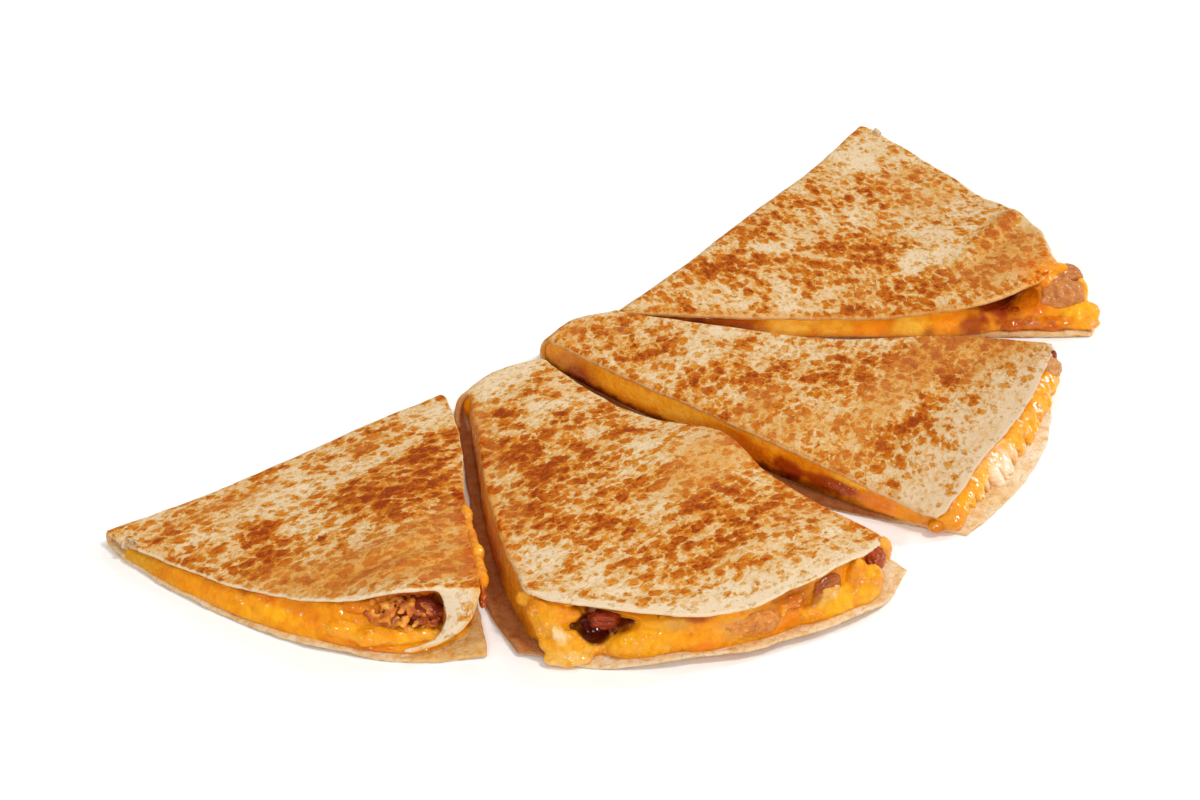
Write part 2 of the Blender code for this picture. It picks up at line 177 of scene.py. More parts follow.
# Pieces of chicken that show: centre, half sizes, turn about Z in degrees, seed.
CHICKEN = {
    "wedge1_chicken_a": ((-117.8, -8.0, 7.4), (6.6, 3.4, 3.9), 128, 3),
    "wedge2_chicken_a": ((-91.2, -42.0, 8.2), (3.8, 2.9, 2.2), -46, 5),
    "wedge2_chicken_b": ((-48.2, -70.4, 9.6), (4.4, 2.6, 2.2), -12, 8),
    "wedge2_chicken_c": ((-31.6, -71.6, 8.6), (2.8, 2.4, 3.2), 20, 11),
    "wedge2_chicken_d": ((-68.4, -65.0, 6.6), (8.4, 3.2, 4.0), -27, 31),
    "wedge3_chicken_a": ((-6.0, -41.0, 4.8), (12.0, 2.4, 1.9), 96, 14),
    "wedge3_chicken_b": ((66.0, -45.4, 6.8), (5.0, 2.8, 3.4), -47, 17),
    "wedge4_chicken_a": ((102.4, -22.6, 9.8), (6.2, 3.8, 3.0), -40, 20),
    "wedge4_chicken_b": ((98.0, -26.4, 7.2), (6.6, 3.8, 4.6), -45, 23),
}

# Where the griddle browned each top layer: (x, y, half length, half width, turn, amount).
TOAST = {
    1: ((-92, 37, 11, 4, -5, 0.9), (-91, 30, 13, 5, -8, 1.0), (-98, 24, 7, 4, 0, 0.9),
        (-72, 33, 7, 6, 60, 0.8), (-66, 36, 4, 5, 70, 0.8), (-76, 49, 8, 3, -5, 0.5),
        (-118, 42, 6, 3, -20, 0.7), (-130, 33, 10, 5, 0, 0.6), (-142, 47, 6, 4, 0, 0.7),
        (-122, 27, 12, 4, 0, 0.45), (-88, 17, 11, 8, 0, 0.6), (-94, 7, 8, 4, -10, 0.5),
        (-125, 57, 14, 3, -10, 0.4), (-80, 22, 7, 6, 0, 0.6),
        (-105, 48, 15, 5, -5, -0.6), (-110, 33, 8, 5, 0, -0.5), (-85, 43, 5, 3, 0, -0.5),
        (-60, 49, 9, 4, 0, -0.5), (-120, 6, 14, 4, -35, 0.5), (-126, 22, 10, 4, -60, 0.3)),
    2: ((-45, 33, 5, 6, 80, 1.0), (-60, 22, 6, 8, 20, 0.7), (-58, 14, 3, 4, 80, 0.8),
        (-52, 18, 8, 5, 0, 0.7), (-40, 18, 6, 5, 10, 0.6), (-65, 5, 11, 4, 5, 0.9),
        (-72, -4, 11, 4, 5, 1.0), (-50, 5, 9, 4, 5, 0.8), (-35, 4, 6, 4, 0, 0.9),
        (-50, -4, 9, 3, 5, 0.7), (-78, -14, 6, 5, 0, 0.5), (-65, -18, 7, 5, 20, 0.6),
        (-50, -15, 7, 4, 0, 0.7), (-72, -25, 9, 4, 10, 0.6), (-48, -32, 9, 4, 5, 0.8),
        (-56, -38, 14, 3, 3, 0.7), (-71, -38, 9, 4, 0, 0.6), (-45, -45, 13, 4, 0, 0.8),
        (-62, -49, 12, 3, 0, 0.7), (-34, -30, 5, 6, 0, 0.5), (-31, -44, 5, 8, 80, 0.4),
        (-33, 47, 14, 4, -3, -1.0), (-36, 28, 4, 8, 80, -0.6), (-38, 10, 7, 4, 0, -0.4),
        (-32, 13, 6, 2, 0, 0.5), (-38, -4, 8, 4, 0, -0.8), (-88, -22, 8, 8, 0, -0.5),
        (-86, -42, 12, 3, -45, -0.6), (-66, -62, 14, 3, -8, -0.6), (-40, -68, 16, 2, -12, -0.5),
        (-30, -18, 8, 10, 70, -0.4)),
    3: ((3, 43, 9, 4, 0, 0.7), (-7, 29, 4, 3, 0, 1.0), (5, 27, 9, 4, 10, 0.6), (4, 34, 8, 3, 5, 0.5),
        (3, 10, 12, 3, 5, 0.6), (8, -2, 5, 4, 0, 0.9), (17, -1, 4, 3, 0, 0.8), (-5, 5, 5, 5, 0, 0.5),
        (22, 14, 4, 8, 70, 0.3), (20, -15, 5, 8, 65, 0.6), (27, -18, 5, 4, 65, 0.7),
        (33, -10, 5, 3, 20, 0.7), (38, -19, 6, 4, 0, 0.4), (0, -8, 9, 5, 0, 0.4),
        (5, -41, 7, 2, 8, 0.9), (17, -43, 9, 2, 8, 1.0), (35, -38, 12, 2.5, 8, 0.7),
        (-3, -53, 4, 3, 60, 0.6), (5, -31, 6, 2, 10, 0.4),
        (20, 24, 8, 6, -50, -0.6), (10, 17, 8, 4, 0, -0.5), (27, 4, 7, 5, -50, -0.3),
        (30, -55, 34, 5, 12, -0.8), (-1, -62, 8, 6, 0, -0.7),
        (50, -22, 12, 8, -30, 0.4), (62, -34, 10, 6, 0, 0.3), (40, -30, 14, 7, 0, 0.4)),
    4: ((46, 46, 10, 4, 15, 0.8), (57, 38, 7, 8, 70, 0.7), (23, 39, 7, 5, 40, 0.6),
        (74, 53, 11, 5, 15, 0.6), (74, 33, 5, 3, 0, 0.9), (84, 27, 9, 4, 25, 0.8),
        (62, 23, 9, 5, 40, 0.7), (80, 20, 8, 4, 20, 0.8), (55, 8, 6, 5, 50, 0.8),
        (73, 12, 8, 5, 60, 0.7), (70, 0, 5, 6, 60, 0.6), (105, 2, 20, 3, 8, 0.8),
        (110, 42, 7, 12, 80, 0.5), (81, -5, 6, 6, 60, 0.5), (95, 55, 8, 5, 20, 0.3),
        (108, 63, 6, 4, 60, 0.3), (46, 31, 4, 3, 0, 0.4), (92, -9, 14, 4, 10, 0.3),
        (126, 64, 11, 6, 20, -1.2), (88, 40, 8, 7, 60, -0.3), (36, 36, 6, 9, 60, -0.5),
        (67, 41, 4, 9, 70, -0.4), (86, 6, 5, 12, 65, -0.8), (48, 20, 8, 4, 50, -0.5),
        (100, 25, 8, 8, 60, -0.2), (120, 22, 9, 5, 80, -0.2), (97, 12, 4, 9, 70, -0.3)),
}

# Where fat has soaked the top layer golden.
GOLD = {
    1: ((-111, 8, 26, 8, -12, 1.0), (-115, 2, 17, 7, -43, 1.3), (-106, -9, 8, 5, -45, 1.3), (-102, -4, 13, 6, -15, 0.9), (-115, 58, 26, 3, -10, 0.7),
        (-141, 32, 7, 12, 60, 0.5), (-128, 22, 12, 6, 0, 0.6), (-85, 10, 6, 10, 50, 0.5),
        (-75, 50, 10, 4, 0, 0.5)),
    2: ((-27, -18, 8, 11, 75, 1.0), (-37, -22, 12, 7, 0, 0.7), (-30, -50, 6, 14, 85, 0.6),
        (-50, 38, 10, 3, 50, 0.7), (-64, 18, 18, 3, 50, 0.6), (-80, -4, 9, 4, 55, 0.5),
        (-45, -25, 14, 6, 0, 0.4), (-45, -60, 16, 4, -5, 0.4), (-80, -46, 6, 3, -40, 0.3)),
    3: ((30, -28, 26, 7, 12, 0.9), (56, -27, 16, 8, -20, 0.8), (0, -9, 10, 6, 0, 0.8),
        (-5, -22, 6, 14, 80, 0.9), (50, -38, 14, 5, 10, 0.6), (-3, 51, 7, 3, 0, 0.8),
        (4, 42, 9, 5, 0, 0.5), (-5, -42, 4, 12, 80, 0.6), (10, -35, 16, 5, 10, 0.5),
        (68, -38, 6, 5, 0, 0.6)),
    4: ((100, -11, 20, 6, 15, 1.0), (112, 2, 12, 6, 20, 0.6), (115, 32, 10, 14, 80, 0.7),
        (126, 46, 5, 10, 75, 0.6), (90, -4, 14, 8, 10, 0.7), (75, 56, 18, 3, 12, 0.4),
        (60, 10, 6, 14, -50, 0.5), (108, 55, 8, 6, 0, 0.3)),
}

# Bumps and hollows of the top layer: (x, y, half length, half width, turn, height mm).
SWELLS = {
    1: ((-110, 10, 24, 2.2, -14, 0.35), (-108, 4, 22, 2.0, -16, -0.35), (-106, -1, 18, 2.2, -18, 0.4),
        (-103, -7, 10, 1.8, -22, -0.3), (-90, 32, 8, 6, 0, 0.3), (-120, 44, 8, 5, 0, 0.25)),
    2: ((-23.5, -19, 7, 5, 80, 0.9), (-60, -10, 10, 6, 0, 0.3), (-50, 20, 8, 5, 0, 0.3),
        (-70, -42, 16, 3, -10, 0.3), (-45, -55, 18, 2.5, -5, 0.35), (-75, -52, 10, 2.5, -35, -0.4)),
    3: ((2, -12, 9, 6, 80, 0.4), (15, -42, 22, 2.5, 8, -0.3), (25, -50, 30, 4, 10, 0.35),
        (55, -30, 12, 5, -20, 0.3), (10, 15, 8, 6, 0, 0.25)),
    4: ((108, 4, 16, 2.6, 10, 0.9), (104, -3, 14, 2.2, 10, -0.5), (118, 3, 5, 4, 20, 0.6),
        (84, 12, 2.2, 14, 65, 0.3), (90, 8, 2.0, 12, 65, -0.25), (60, 25, 8, 6, 0, 0.3),
        (112, 40, 10, 6, 0, 0.25)),
}

# the way each top layer's browning is drawn out, in degrees
GRAIN = {1: -8, 2: 5, 3: 30, 4: 62}


# ---------------------------------------------------------------------------------------------
# small tools
# ---------------------------------------------------------------------------------------------
def linear(r, g, b):
    """An 8-bit display colour as linear values."""
    return tuple(((v / 255 + 0.055) / 1.055) ** 2.4 if v > 10 else v / 3294.6 for v in (r, g, b))


def ease(low, high, value):
    t = np.clip((np.asarray(value, float) - low) / (high - low), 0, 1)
    return t * t * (3 - 2 * t)


def curve(values, t):
    """A smooth curve through values at evenly spaced stations over t = 0..1."""
    v = np.asarray(values, float)
    t = np.asarray(t, float)
    n = len(v)
    if n == 1:
        return np.full(t.shape, v[0])
    step = 1 / (n - 1)
    slope = np.gradient(v, step)
    i = np.clip((np.clip(t, 0, 1) / step).astype(int), 0, n - 2)
    u = t / step - i
    return (
        (2 * u**3 - 3 * u**2 + 1) * v[i]
        + (u**3 - 2 * u**2 + u) * step * slope[i]
        + (3 * u**2 - 2 * u**3) * v[i + 1]
        + (u**3 - u**2) * step * slope[i + 1]
    )


def side(layer, name, t):
    start, end = {"fold": "AB", "rim": "DC", "left": "AD", "right": "BC"}[name]
    p, q = np.array(layer[start]), np.array(layer[end])
    along = q - p
    right = np.array([along[1], -along[0]]) / np.hypot(*along)
    bow, height = layer[name]
    t = np.asarray(t, float)
    xy = p + t[..., None] * along + curve(bow, t)[..., None] * right
    return np.concatenate([xy, curve(height, t)[..., None]], axis=-1)


def layer_at(layer, s, r, crown=0.0):
    s, r = np.broadcast_arrays(np.asarray(s, float), np.asarray(r, float))
    zero, one = np.zeros_like(s), np.ones_like(s)
    a, b = s[..., None], r[..., None]
    point = (
        (1 - b) * side(layer, "fold", s) + b * side(layer, "rim", s)
        + (1 - a) * side(layer, "left", r) + a * side(layer, "right", r)
        - (1 - a) * (1 - b) * side(layer, "fold", zero) - a * (1 - b) * side(layer, "fold", one)
        - (1 - a) * b * side(layer, "rim", zero) - a * b * side(layer, "rim", one)
    )
    point[..., 2] += crown * 4 * np.clip(s * (1 - s), 0, 1) * np.sin(math.pi * np.clip(r, 0, 1))
    return point


def fold_at(wedge, s, turn):
    upper, lower = layer_at(wedge["top"], s, 0 * s), layer_at(wedge["bottom"], s, 0 * s)
    mix = 0.5 * (1 + np.cos(turn))[..., None]
    point = mix * upper + (1 - mix) * lower
    line = np.array(wedge["top"]["B"]) - np.array(wedge["top"]["A"])
    outward = np.array([-line[1], line[0]]) / np.hypot(*line)
    reach = FOLD_DEPTH * upper[..., 2] * np.sin(turn)
    point[..., :2] += reach[..., None] * outward
    return point


def scrambled(ix, iy, iz, seed):
    h = (ix * 374761393 + iy * 668265263 + iz * 1442695041 + seed * 974634777) & 0xFFFFFFFF
    h = ((h ^ (h >> 13)) * 1274126177) & 0xFFFFFFFF
    h = ((h ^ (h >> 16)) * 2246822519) & 0xFFFFFFFF
    return (h ^ (h >> 15)) & 0xFFFFFFFF


def bumps(p, size, seed=0):
    """Smooth noise, about -1 to 1, with features about size mm across (size may be per axis)."""
    q = np.asarray(p, float) / np.asarray(size, float)
    i = np.floor(q).astype(np.int64)
    f = q - i
    u = f * f * f * (f * (f * 6 - 15) + 10)
    total = np.zeros(q.shape[:-1])
    for dx in (0, 1):
        for dy in (0, 1):
            for dz in (0, 1):
                h = scrambled(i[..., 0] + dx, i[..., 1] + dy, i[..., 2] + dz, seed)
                gx = (h & 1023) / 511.5 - 1
                gy = ((h >> 10) & 1023) / 511.5 - 1
                gz = ((h >> 20) & 1023) / 511.5 - 1
                dot = gx * (f[..., 0] - dx) + gy * (f[..., 1] - dy) + gz * (f[..., 2] - dz)
                weight = (
                    (u[..., 0] if dx else 1 - u[..., 0])
                    * (u[..., 1] if dy else 1 - u[..., 1])
                    * (u[..., 2] if dz else 1 - u[..., 2])
                )
                total += weight * dot
    return total * 1.7


def rough(p, size, seed=0, layers=3, fall=0.5):
    """Several sizes of noise on top of each other."""
    size = np.asarray(size, float)
    total, most, strength = 0.0, 0.0, 1.0
    for k in range(layers):
        total = total + strength * bumps(p, size / 2**k, seed + 31 * k)
        most += strength
        strength *= fall
    return total / most


def spots(xy, table):
    """Sum of soft ellipses (x, y, half length, half width, turn, amount) at plan positions."""
    total = np.zeros(xy.shape[:-1])
    for x, y, long, wide, turn, amount in table:
        c, s = math.cos(math.radians(turn)), math.sin(math.radians(turn))
        dx, dy = xy[..., 0] - x, xy[..., 1] - y
        u, v = (c * dx + s * dy) / long, (-s * dx + c * dy) / wide
        total += amount * np.exp(-(u * u + v * v))
    return total


def stations(count, length, fine):
    """Even steps over 0..1 with extra ones at the given distances (mm) from both ends."""
    ends = np.array(fine) / length
    return np.unique(np.round(np.concatenate([np.linspace(0, 1, count), ends, 1 - ends]), 6))


def mesh_object(name, points, quads=(), tris=(), material=None, layers=None, smooth=True):
    """A mesh from points in mm, arrays of quads and triangles, and named values per point."""
    points = (np.asarray(points, float) + CENTRE) * MM
    quads = np.asarray(quads, np.int64).reshape(-1, 4)
    tris = np.asarray(tris, np.int64).reshape(-1, 3)
    mesh = bpy.data.meshes.new(name)
    mesh.vertices.add(len(points))
    mesh.vertices.foreach_set("co", points.astype(np.float32).ravel())
    corners = np.concatenate([quads.ravel(), tris.ravel()]).astype(np.int32)
    mesh.loops.add(len(corners))
    mesh.loops.foreach_set("vertex_index", corners)
    starts = np.concatenate([np.arange(len(quads)) * 4, len(quads) * 4 + np.arange(len(tris)) * 3])
    mesh.polygons.add(len(starts))
    mesh.polygons.foreach_set("loop_start", starts.astype(np.int32))
    mesh.update(calc_edges=True)
    mesh.validate()
    if smooth:
        mesh.shade_smooth()
    for key, values in (layers or {}).items():
        values = np.asarray(values, np.float32)
        if values.ndim == 1:
            mesh.attributes.new(key, "FLOAT", "POINT").data.foreach_set("value", values)
        else:
            rgba = np.concatenate([values[:, :3], np.ones((len(values), 1), np.float32)], axis=1)
            mesh.attributes.new(key, "FLOAT_COLOR", "POINT").data.foreach_set("color", rgba.ravel())
    made = bpy.data.objects.new(name, mesh)
    bpy.context.scene.collection.objects.link(made)
    if material:
        mesh.materials.append(material)
    return made


def face_normals(points, faces):
    a, c = points[faces[:, 2]] - points[faces[:, 0]], None
    if faces.shape[1] == 4:
        c = points[faces[:, 3]] - points[faces[:, 1]]
    else:
        a, c = points[faces[:, 1]] - points[faces[:, 0]], points[faces[:, 2]] - points[faces[:, 0]]
    return np.cross(a, c)


def point_normals(points, *face_sets):
    total = np.zeros_like(points)
    for faces in face_sets:
        if len(faces):
            n = face_normals(points, faces)
            for k in range(faces.shape[1]):
                np.add.at(total, faces[:, k], n)
    return total / np.maximum(np.linalg.norm(total, axis=1), 1e-12)[:, None]


def relaxed(points, faces, weight, rounds):
    """Points pulled toward the mean of their neighbours, as far as weight (0..1) says."""
    pairs = np.concatenate([faces[:, [k, (k + 1) % 4]] for k in range(4)])
    pairs = np.unique(np.sort(pairs, axis=1), axis=0)
    count = np.zeros(len(points))
    np.add.at(count, pairs[:, 0], 1)
    np.add.at(count, pairs[:, 1], 1)
    for _ in range(rounds):
        total = np.zeros_like(points)
        np.add.at(total, pairs[:, 0], points[pairs[:, 1]])
        np.add.at(total, pairs[:, 1], points[pairs[:, 0]])
        mean = total / np.maximum(count, 1)[:, None]
        points = points + (0.5 * weight)[:, None] * (mean - points)
    return points


# ---------------------------------------------------------------------------------------------
# materials
# ---------------------------------------------------------------------------------------------
class Nodes:
    """A short way to write a material's nodes."""

    def __init__(self, name):
        self.material = bpy.data.materials.new(name)
        self.material.use_nodes = True
        self.tree = self.material.node_tree
        self.shader = self.tree.nodes["Principled BSDF"]

    def link(self, value, socket):
        if isinstance(value, bpy.types.NodeSocket):
            self.tree.links.new(value, socket)
        else:
            socket.default_value = value

    def add(self, kind, **settings):
        node = self.tree.nodes.new(kind)
        for key, value in settings.items():
            setattr(node, key, value)
        return node

    def value(self, name):
        return self.add("ShaderNodeAttribute", attribute_name=name).outputs["Fac"]

    def colour(self, name):
        return self.add("ShaderNodeAttribute", attribute_name=name).outputs["Color"]

    def place(self, turn=0.0, stretch=(1, 1, 1), shift=(0, 0, 0)):
        """Object coordinates in mm, turned about Z and stretched."""
        where = self.add("ShaderNodeTexCoord").outputs["Object"]
        spin = self.add("ShaderNodeMapping", vector_type="POINT")
        self.link(where, spin.inputs["Vector"])
        spin.inputs["Rotation"].default_value = (0, 0, -math.radians(turn))
        spin.inputs["Location"].default_value = shift
        size = self.add("ShaderNodeMapping", vector_type="POINT")
        self.link(spin.outputs["Vector"], size.inputs["Vector"])
        size.inputs["Scale"].default_value = tuple(1000 / v for v in stretch)
        return size.outputs["Vector"]

    def noise(self, where, size, detail=2.0, roughness=0.5, distortion=0.0):
        """Noise of 0..1 with features of about size mm."""
        node = self.add("ShaderNodeTexNoise")
        self.link(where, node.inputs["Vector"])
        node.inputs["Scale"].default_value = 1 / size
        node.inputs["Detail"].default_value = detail
        node.inputs["Roughness"].default_value = roughness
        node.inputs["Distortion"].default_value = distortion
        return node.outputs["Fac"]

    def maths(self, kind, a, b=0.0, c=0.0):
        node = self.add("ShaderNodeMath", operation=kind)
        for value, socket in zip((a, b, c), node.inputs):
            self.link(value, socket)
        return node.outputs[0]

    def total(self, *values):
        """The sum of any number of values."""
        result = values[0]
        for value in values[1:]:
            result = self.maths("ADD", result, value)
        return result

    def blend(self, share, a, b):
        """A value between a and b."""
        return self.maths("MULTIPLY_ADD", share, self.maths("SUBTRACT", b, a), a)

    def warp(self, where, size, amount):
        """Positions pushed about by noise."""
        node = self.add("ShaderNodeTexNoise")
        self.link(where, node.inputs["Vector"])
        node.inputs["Scale"].default_value = 1 / size
        node.inputs["Detail"].default_value = 1.5
        push = self.add("ShaderNodeVectorMath", operation="SUBTRACT")
        self.link(node.outputs["Color"], push.inputs[0])
        push.inputs[1].default_value = (0.5, 0.5, 0.5)
        moved = self.add("ShaderNodeVectorMath", operation="MULTIPLY_ADD")
        self.link(push.outputs[0], moved.inputs[0])
        moved.inputs[1].default_value = (amount, amount, amount)
        self.link(where, moved.inputs[2])
        return moved.outputs[0]

    def spots(self, where, size):
        """Distance to the nearest of many scattered points, and that point's own value of 0..1."""
        node = self.add("ShaderNodeTexVoronoi", feature="F1")
        self.link(where, node.inputs["Vector"])
        node.inputs["Scale"].default_value = 1 / size
        own = self.add("ShaderNodeSeparateColor")
        self.link(node.outputs["Color"], own.inputs[0])
        return node.outputs["Distance"], own.outputs[0]

    def step(self, value, low, high):
        """0 below low, 1 above high, smooth between."""
        node = self.add("ShaderNodeMapRange", interpolation_type="SMOOTHSTEP")
        self.link(value, node.inputs["Value"])
        node.inputs["From Min"].default_value = low
        node.inputs["From Max"].default_value = high
        return node.outputs["Result"]

    def mix(self, share, a, b, kind="MIX"):
        node = self.add("ShaderNodeMix", data_type="RGBA", blend_type=kind)
        self.link(share, node.inputs["Factor"])
        for value, socket in ((a, node.inputs[6]), (b, node.inputs[7])):
            self.link(value if isinstance(value, bpy.types.NodeSocket) else (*value, 1.0), socket)
        return node.outputs[2]

    def ramp(self, value, stops):
        """A colour from a value, through (position, colour) stops."""
        node = self.add("ShaderNodeValToRGB")
        node.color_ramp.interpolation = "LINEAR"
        points = node.color_ramp.elements
        while len(points) < len(stops):
            points.new(0.5)
        for point, (at, colour) in zip(points, stops):
            point.position = at
            point.color = (*colour, 1.0)
        self.link(value, node.inputs["Fac"])
        return node.outputs["Color"]

    def bump(self, height, strength, distance):
        node = self.add("ShaderNodeBump")
        self.link(height, node.inputs["Height"])
        node.inputs["Strength"].default_value = strength
        node.inputs["Distance"].default_value = distance
        self.link(node.outputs["Normal"], self.shader.inputs["Normal"])

    def set(self, **values):
        for key, value in values.items():
            self.link(value, self.shader.inputs[key.replace("_", " ")])
        return self.material


# how the sheet's colour runs from raw to burnt, as (browning, colour)
BAKED = (
    (0.00, linear(226, 202, 168)),
    (0.13, linear(217, 184, 137)),
    (0.26, linear(214, 172, 113)),
    (0.39, linear(212, 159, 85)),
    (0.51, linear(210, 144, 56)),
    (0.63, linear(205, 127, 35)),
    (0.75, linear(196, 110, 27)),
    (0.87, linear(178, 88, 22)),
    (1.00, linear(144, 58, 16)),
)
CREAM = linear(224, 202, 170)


def tortilla_material(number):
    """Griddled flour tortilla: pale, browned in spots where it touched the plate."""
    n = Nodes(f"tortilla_{number}")
    seed = tuple(0.001 * v for v in (13.7 * number, 5.1 * number, 3.3 * number))
    plain = n.place(shift=seed)
    drawn = n.warp(n.warp(n.place(turn=GRAIN[number], stretch=(1.35, 1, 1), shift=seed), 2.6, 2.0), 0.9, 0.9)
    toast, gold, inner = n.value("toast"), n.value("gold"), n.value("inner")
    pale = n.value("pale")
    centred = lambda value, by: n.maths("MULTIPLY", n.maths("SUBTRACT", value, 0.5), by)
    add = lambda *values: n.total(*values)

    clump = n.noise(drawn, 6.5, 2.0, 0.5)
    ragged = n.noise(plain, 0.9, 3.0, 0.62)
    fine = n.noise(plain, 0.30, 2.0, 0.6)
    zone = add(0.54, centred(toast, 0.58), centred(clump, 1.0), n.maths("MULTIPLY", pale, -0.45))

    # blisters that touched the plate: large and small, each with its own size and depth
    far, own = n.spots(drawn, 2.5)
    size = add(0.35, centred(own, 0.46), centred(zone, 0.50), centred(ragged, 0.45))
    deep = n.maths("SUBTRACT", size, far)
    halo, edge, core = n.step(deep, -0.20, 0.0), n.step(deep, -0.02, 0.03), n.step(deep, 0.07, 0.22)
    far2, own2 = n.spots(drawn, 1.15)
    size2 = add(0.32, centred(own2, 0.75), centred(zone, 0.60), centred(ragged, 0.40))
    small = n.step(n.maths("SUBTRACT", size2, far2), -0.03, 0.06)
    hot = n.step(zone, 0.2, 0.85)
    streak = n.noise(n.warp(n.place(turn=GRAIN[number], stretch=(2.4, 1, 1), shift=seed), 1.5, 0.8), 1.25, 3.0, 0.62)

    bake = add(
        0.10,
        n.maths("MULTIPLY", n.step(zone, 0.25, 0.95), 0.24),
        n.maths("MULTIPLY", halo, 0.22),
        n.maths("MULTIPLY", n.maths("MULTIPLY_ADD", hot, 0.15, 0.13), edge),
        n.maths("MULTIPLY", n.maths("MULTIPLY", core, n.maths("MULTIPLY_ADD", hot, 0.6, 0.4)), 0.24),
        n.maths("MULTIPLY", n.maths("MULTIPLY_ADD", own2, 0.26, 0.08), small),
        n.maths("MULTIPLY", n.step(n.total(streak, centred(zone, 0.10)), 0.49, 0.61), 0.20),
        -0.05,
        centred(n.noise(drawn, 0.85, 3.0, 0.65), 0.55),
        centred(fine, 0.34),
        centred(n.noise(plain, 9.0, 2.0, 0.5), 0.35),
    )
    # fat soaks the sheet golden and evens it out
    soaked = n.step(add(gold, centred(n.noise(drawn, 3.0, 3.0, 0.6), 0.9), centred(ragged, 0.4)), 0.15, 0.85)
    even = add(0.55, n.maths("MULTIPLY", n.step(gold, 0.5, 1.0), 0.08), centred(bake, 0.50), centred(fine, 0.24))
    share = n.maths("MULTIPLY", soaked, n.maths("MULTIPLY_ADD", n.step(gold, 0.9, 1.3), 0.13, 0.84))
    bake = n.blend(share, bake, even)
    bake = n.maths("MINIMUM", bake, n.maths("MULTIPLY_ADD", bake, 0.42, 0.40))
    bake = add(bake, n.maths("MULTIPLY", pale, -0.26), n.maths("MULTIPLY", n.step(inner, 0.05, 0.3), -0.45))
    colour = n.ramp(bake, BAKED)
    # pale cream flecks between the blisters: flour left white, and partly a painted highlight for small glints of
    # oil
    bare = n.maths("MULTIPLY", n.step(bake, 0.62, 0.30), n.maths("MULTIPLY_ADD", soaked, -0.45, 0.75))
    fleck_and_glint = n.step(n.noise(drawn, 0.70, 2.0, 0.6), 0.52, 0.64)
    colour = n.mix(n.maths("MULTIPLY", fleck_and_glint, bare), colour, CREAM)
    # the inner side is untoasted, with stains of cheese
    raw = n.mix(n.step(n.noise(plain, 2.5, 3.0, 0.6), 0.4, 0.7), linear(228, 203, 168), linear(216, 172, 112))
    colour = n.mix(n.step(inner, 0.3, 0.8), colour, raw)
    # the sheet's own tint: cheese soaked in and grease, with painted shade where it lies in the gaps between wedges
    colour = n.mix(1.0, colour, n.colour("stain_and_shade"), "MULTIPLY")

    height = n.total(
        n.maths("MULTIPLY", edge, 0.5), n.maths("MULTIPLY", small, 0.25), n.maths("MULTIPLY", fine, 0.3),
        n.maths("MULTIPLY", ragged, 0.7), n.maths("MULTIPLY", n.noise(drawn, 2.6, 2.0, 0.5), 0.8),
    )
    n.bump(height, 0.8, 0.0005)
    dull = n.total(0.62, n.maths("MULTIPLY", soaked, -0.22), centred(ragged, 0.25))
    shine = n.maths("MULTIPLY_ADD", soaked, 0.08, 0.02)
    oily = n.maths("MULTIPLY", n.step(n.noise(plain, 1.3, 2.0, 0.6), 0.50, 0.62),
                   n.maths("MULTIPLY_ADD", soaked, 0.26, 0.05))
    n.link(oily, n.shader.inputs["Coat Weight"])
    n.shader.inputs["Coat Roughness"].default_value = 0.22
    skin_bump = n.add("ShaderNodeBump")
    skin_bump.inputs["Strength"].default_value = 1.0
    skin_bump.inputs["Distance"].default_value = 0.0012
    n.link(ragged, skin_bump.inputs["Height"])
    n.link(skin_bump.outputs["Normal"], n.shader.inputs["Coat Normal"])
    return n.set(Base_Color=colour, Roughness=dull, Specular_IOR_Level=shine)


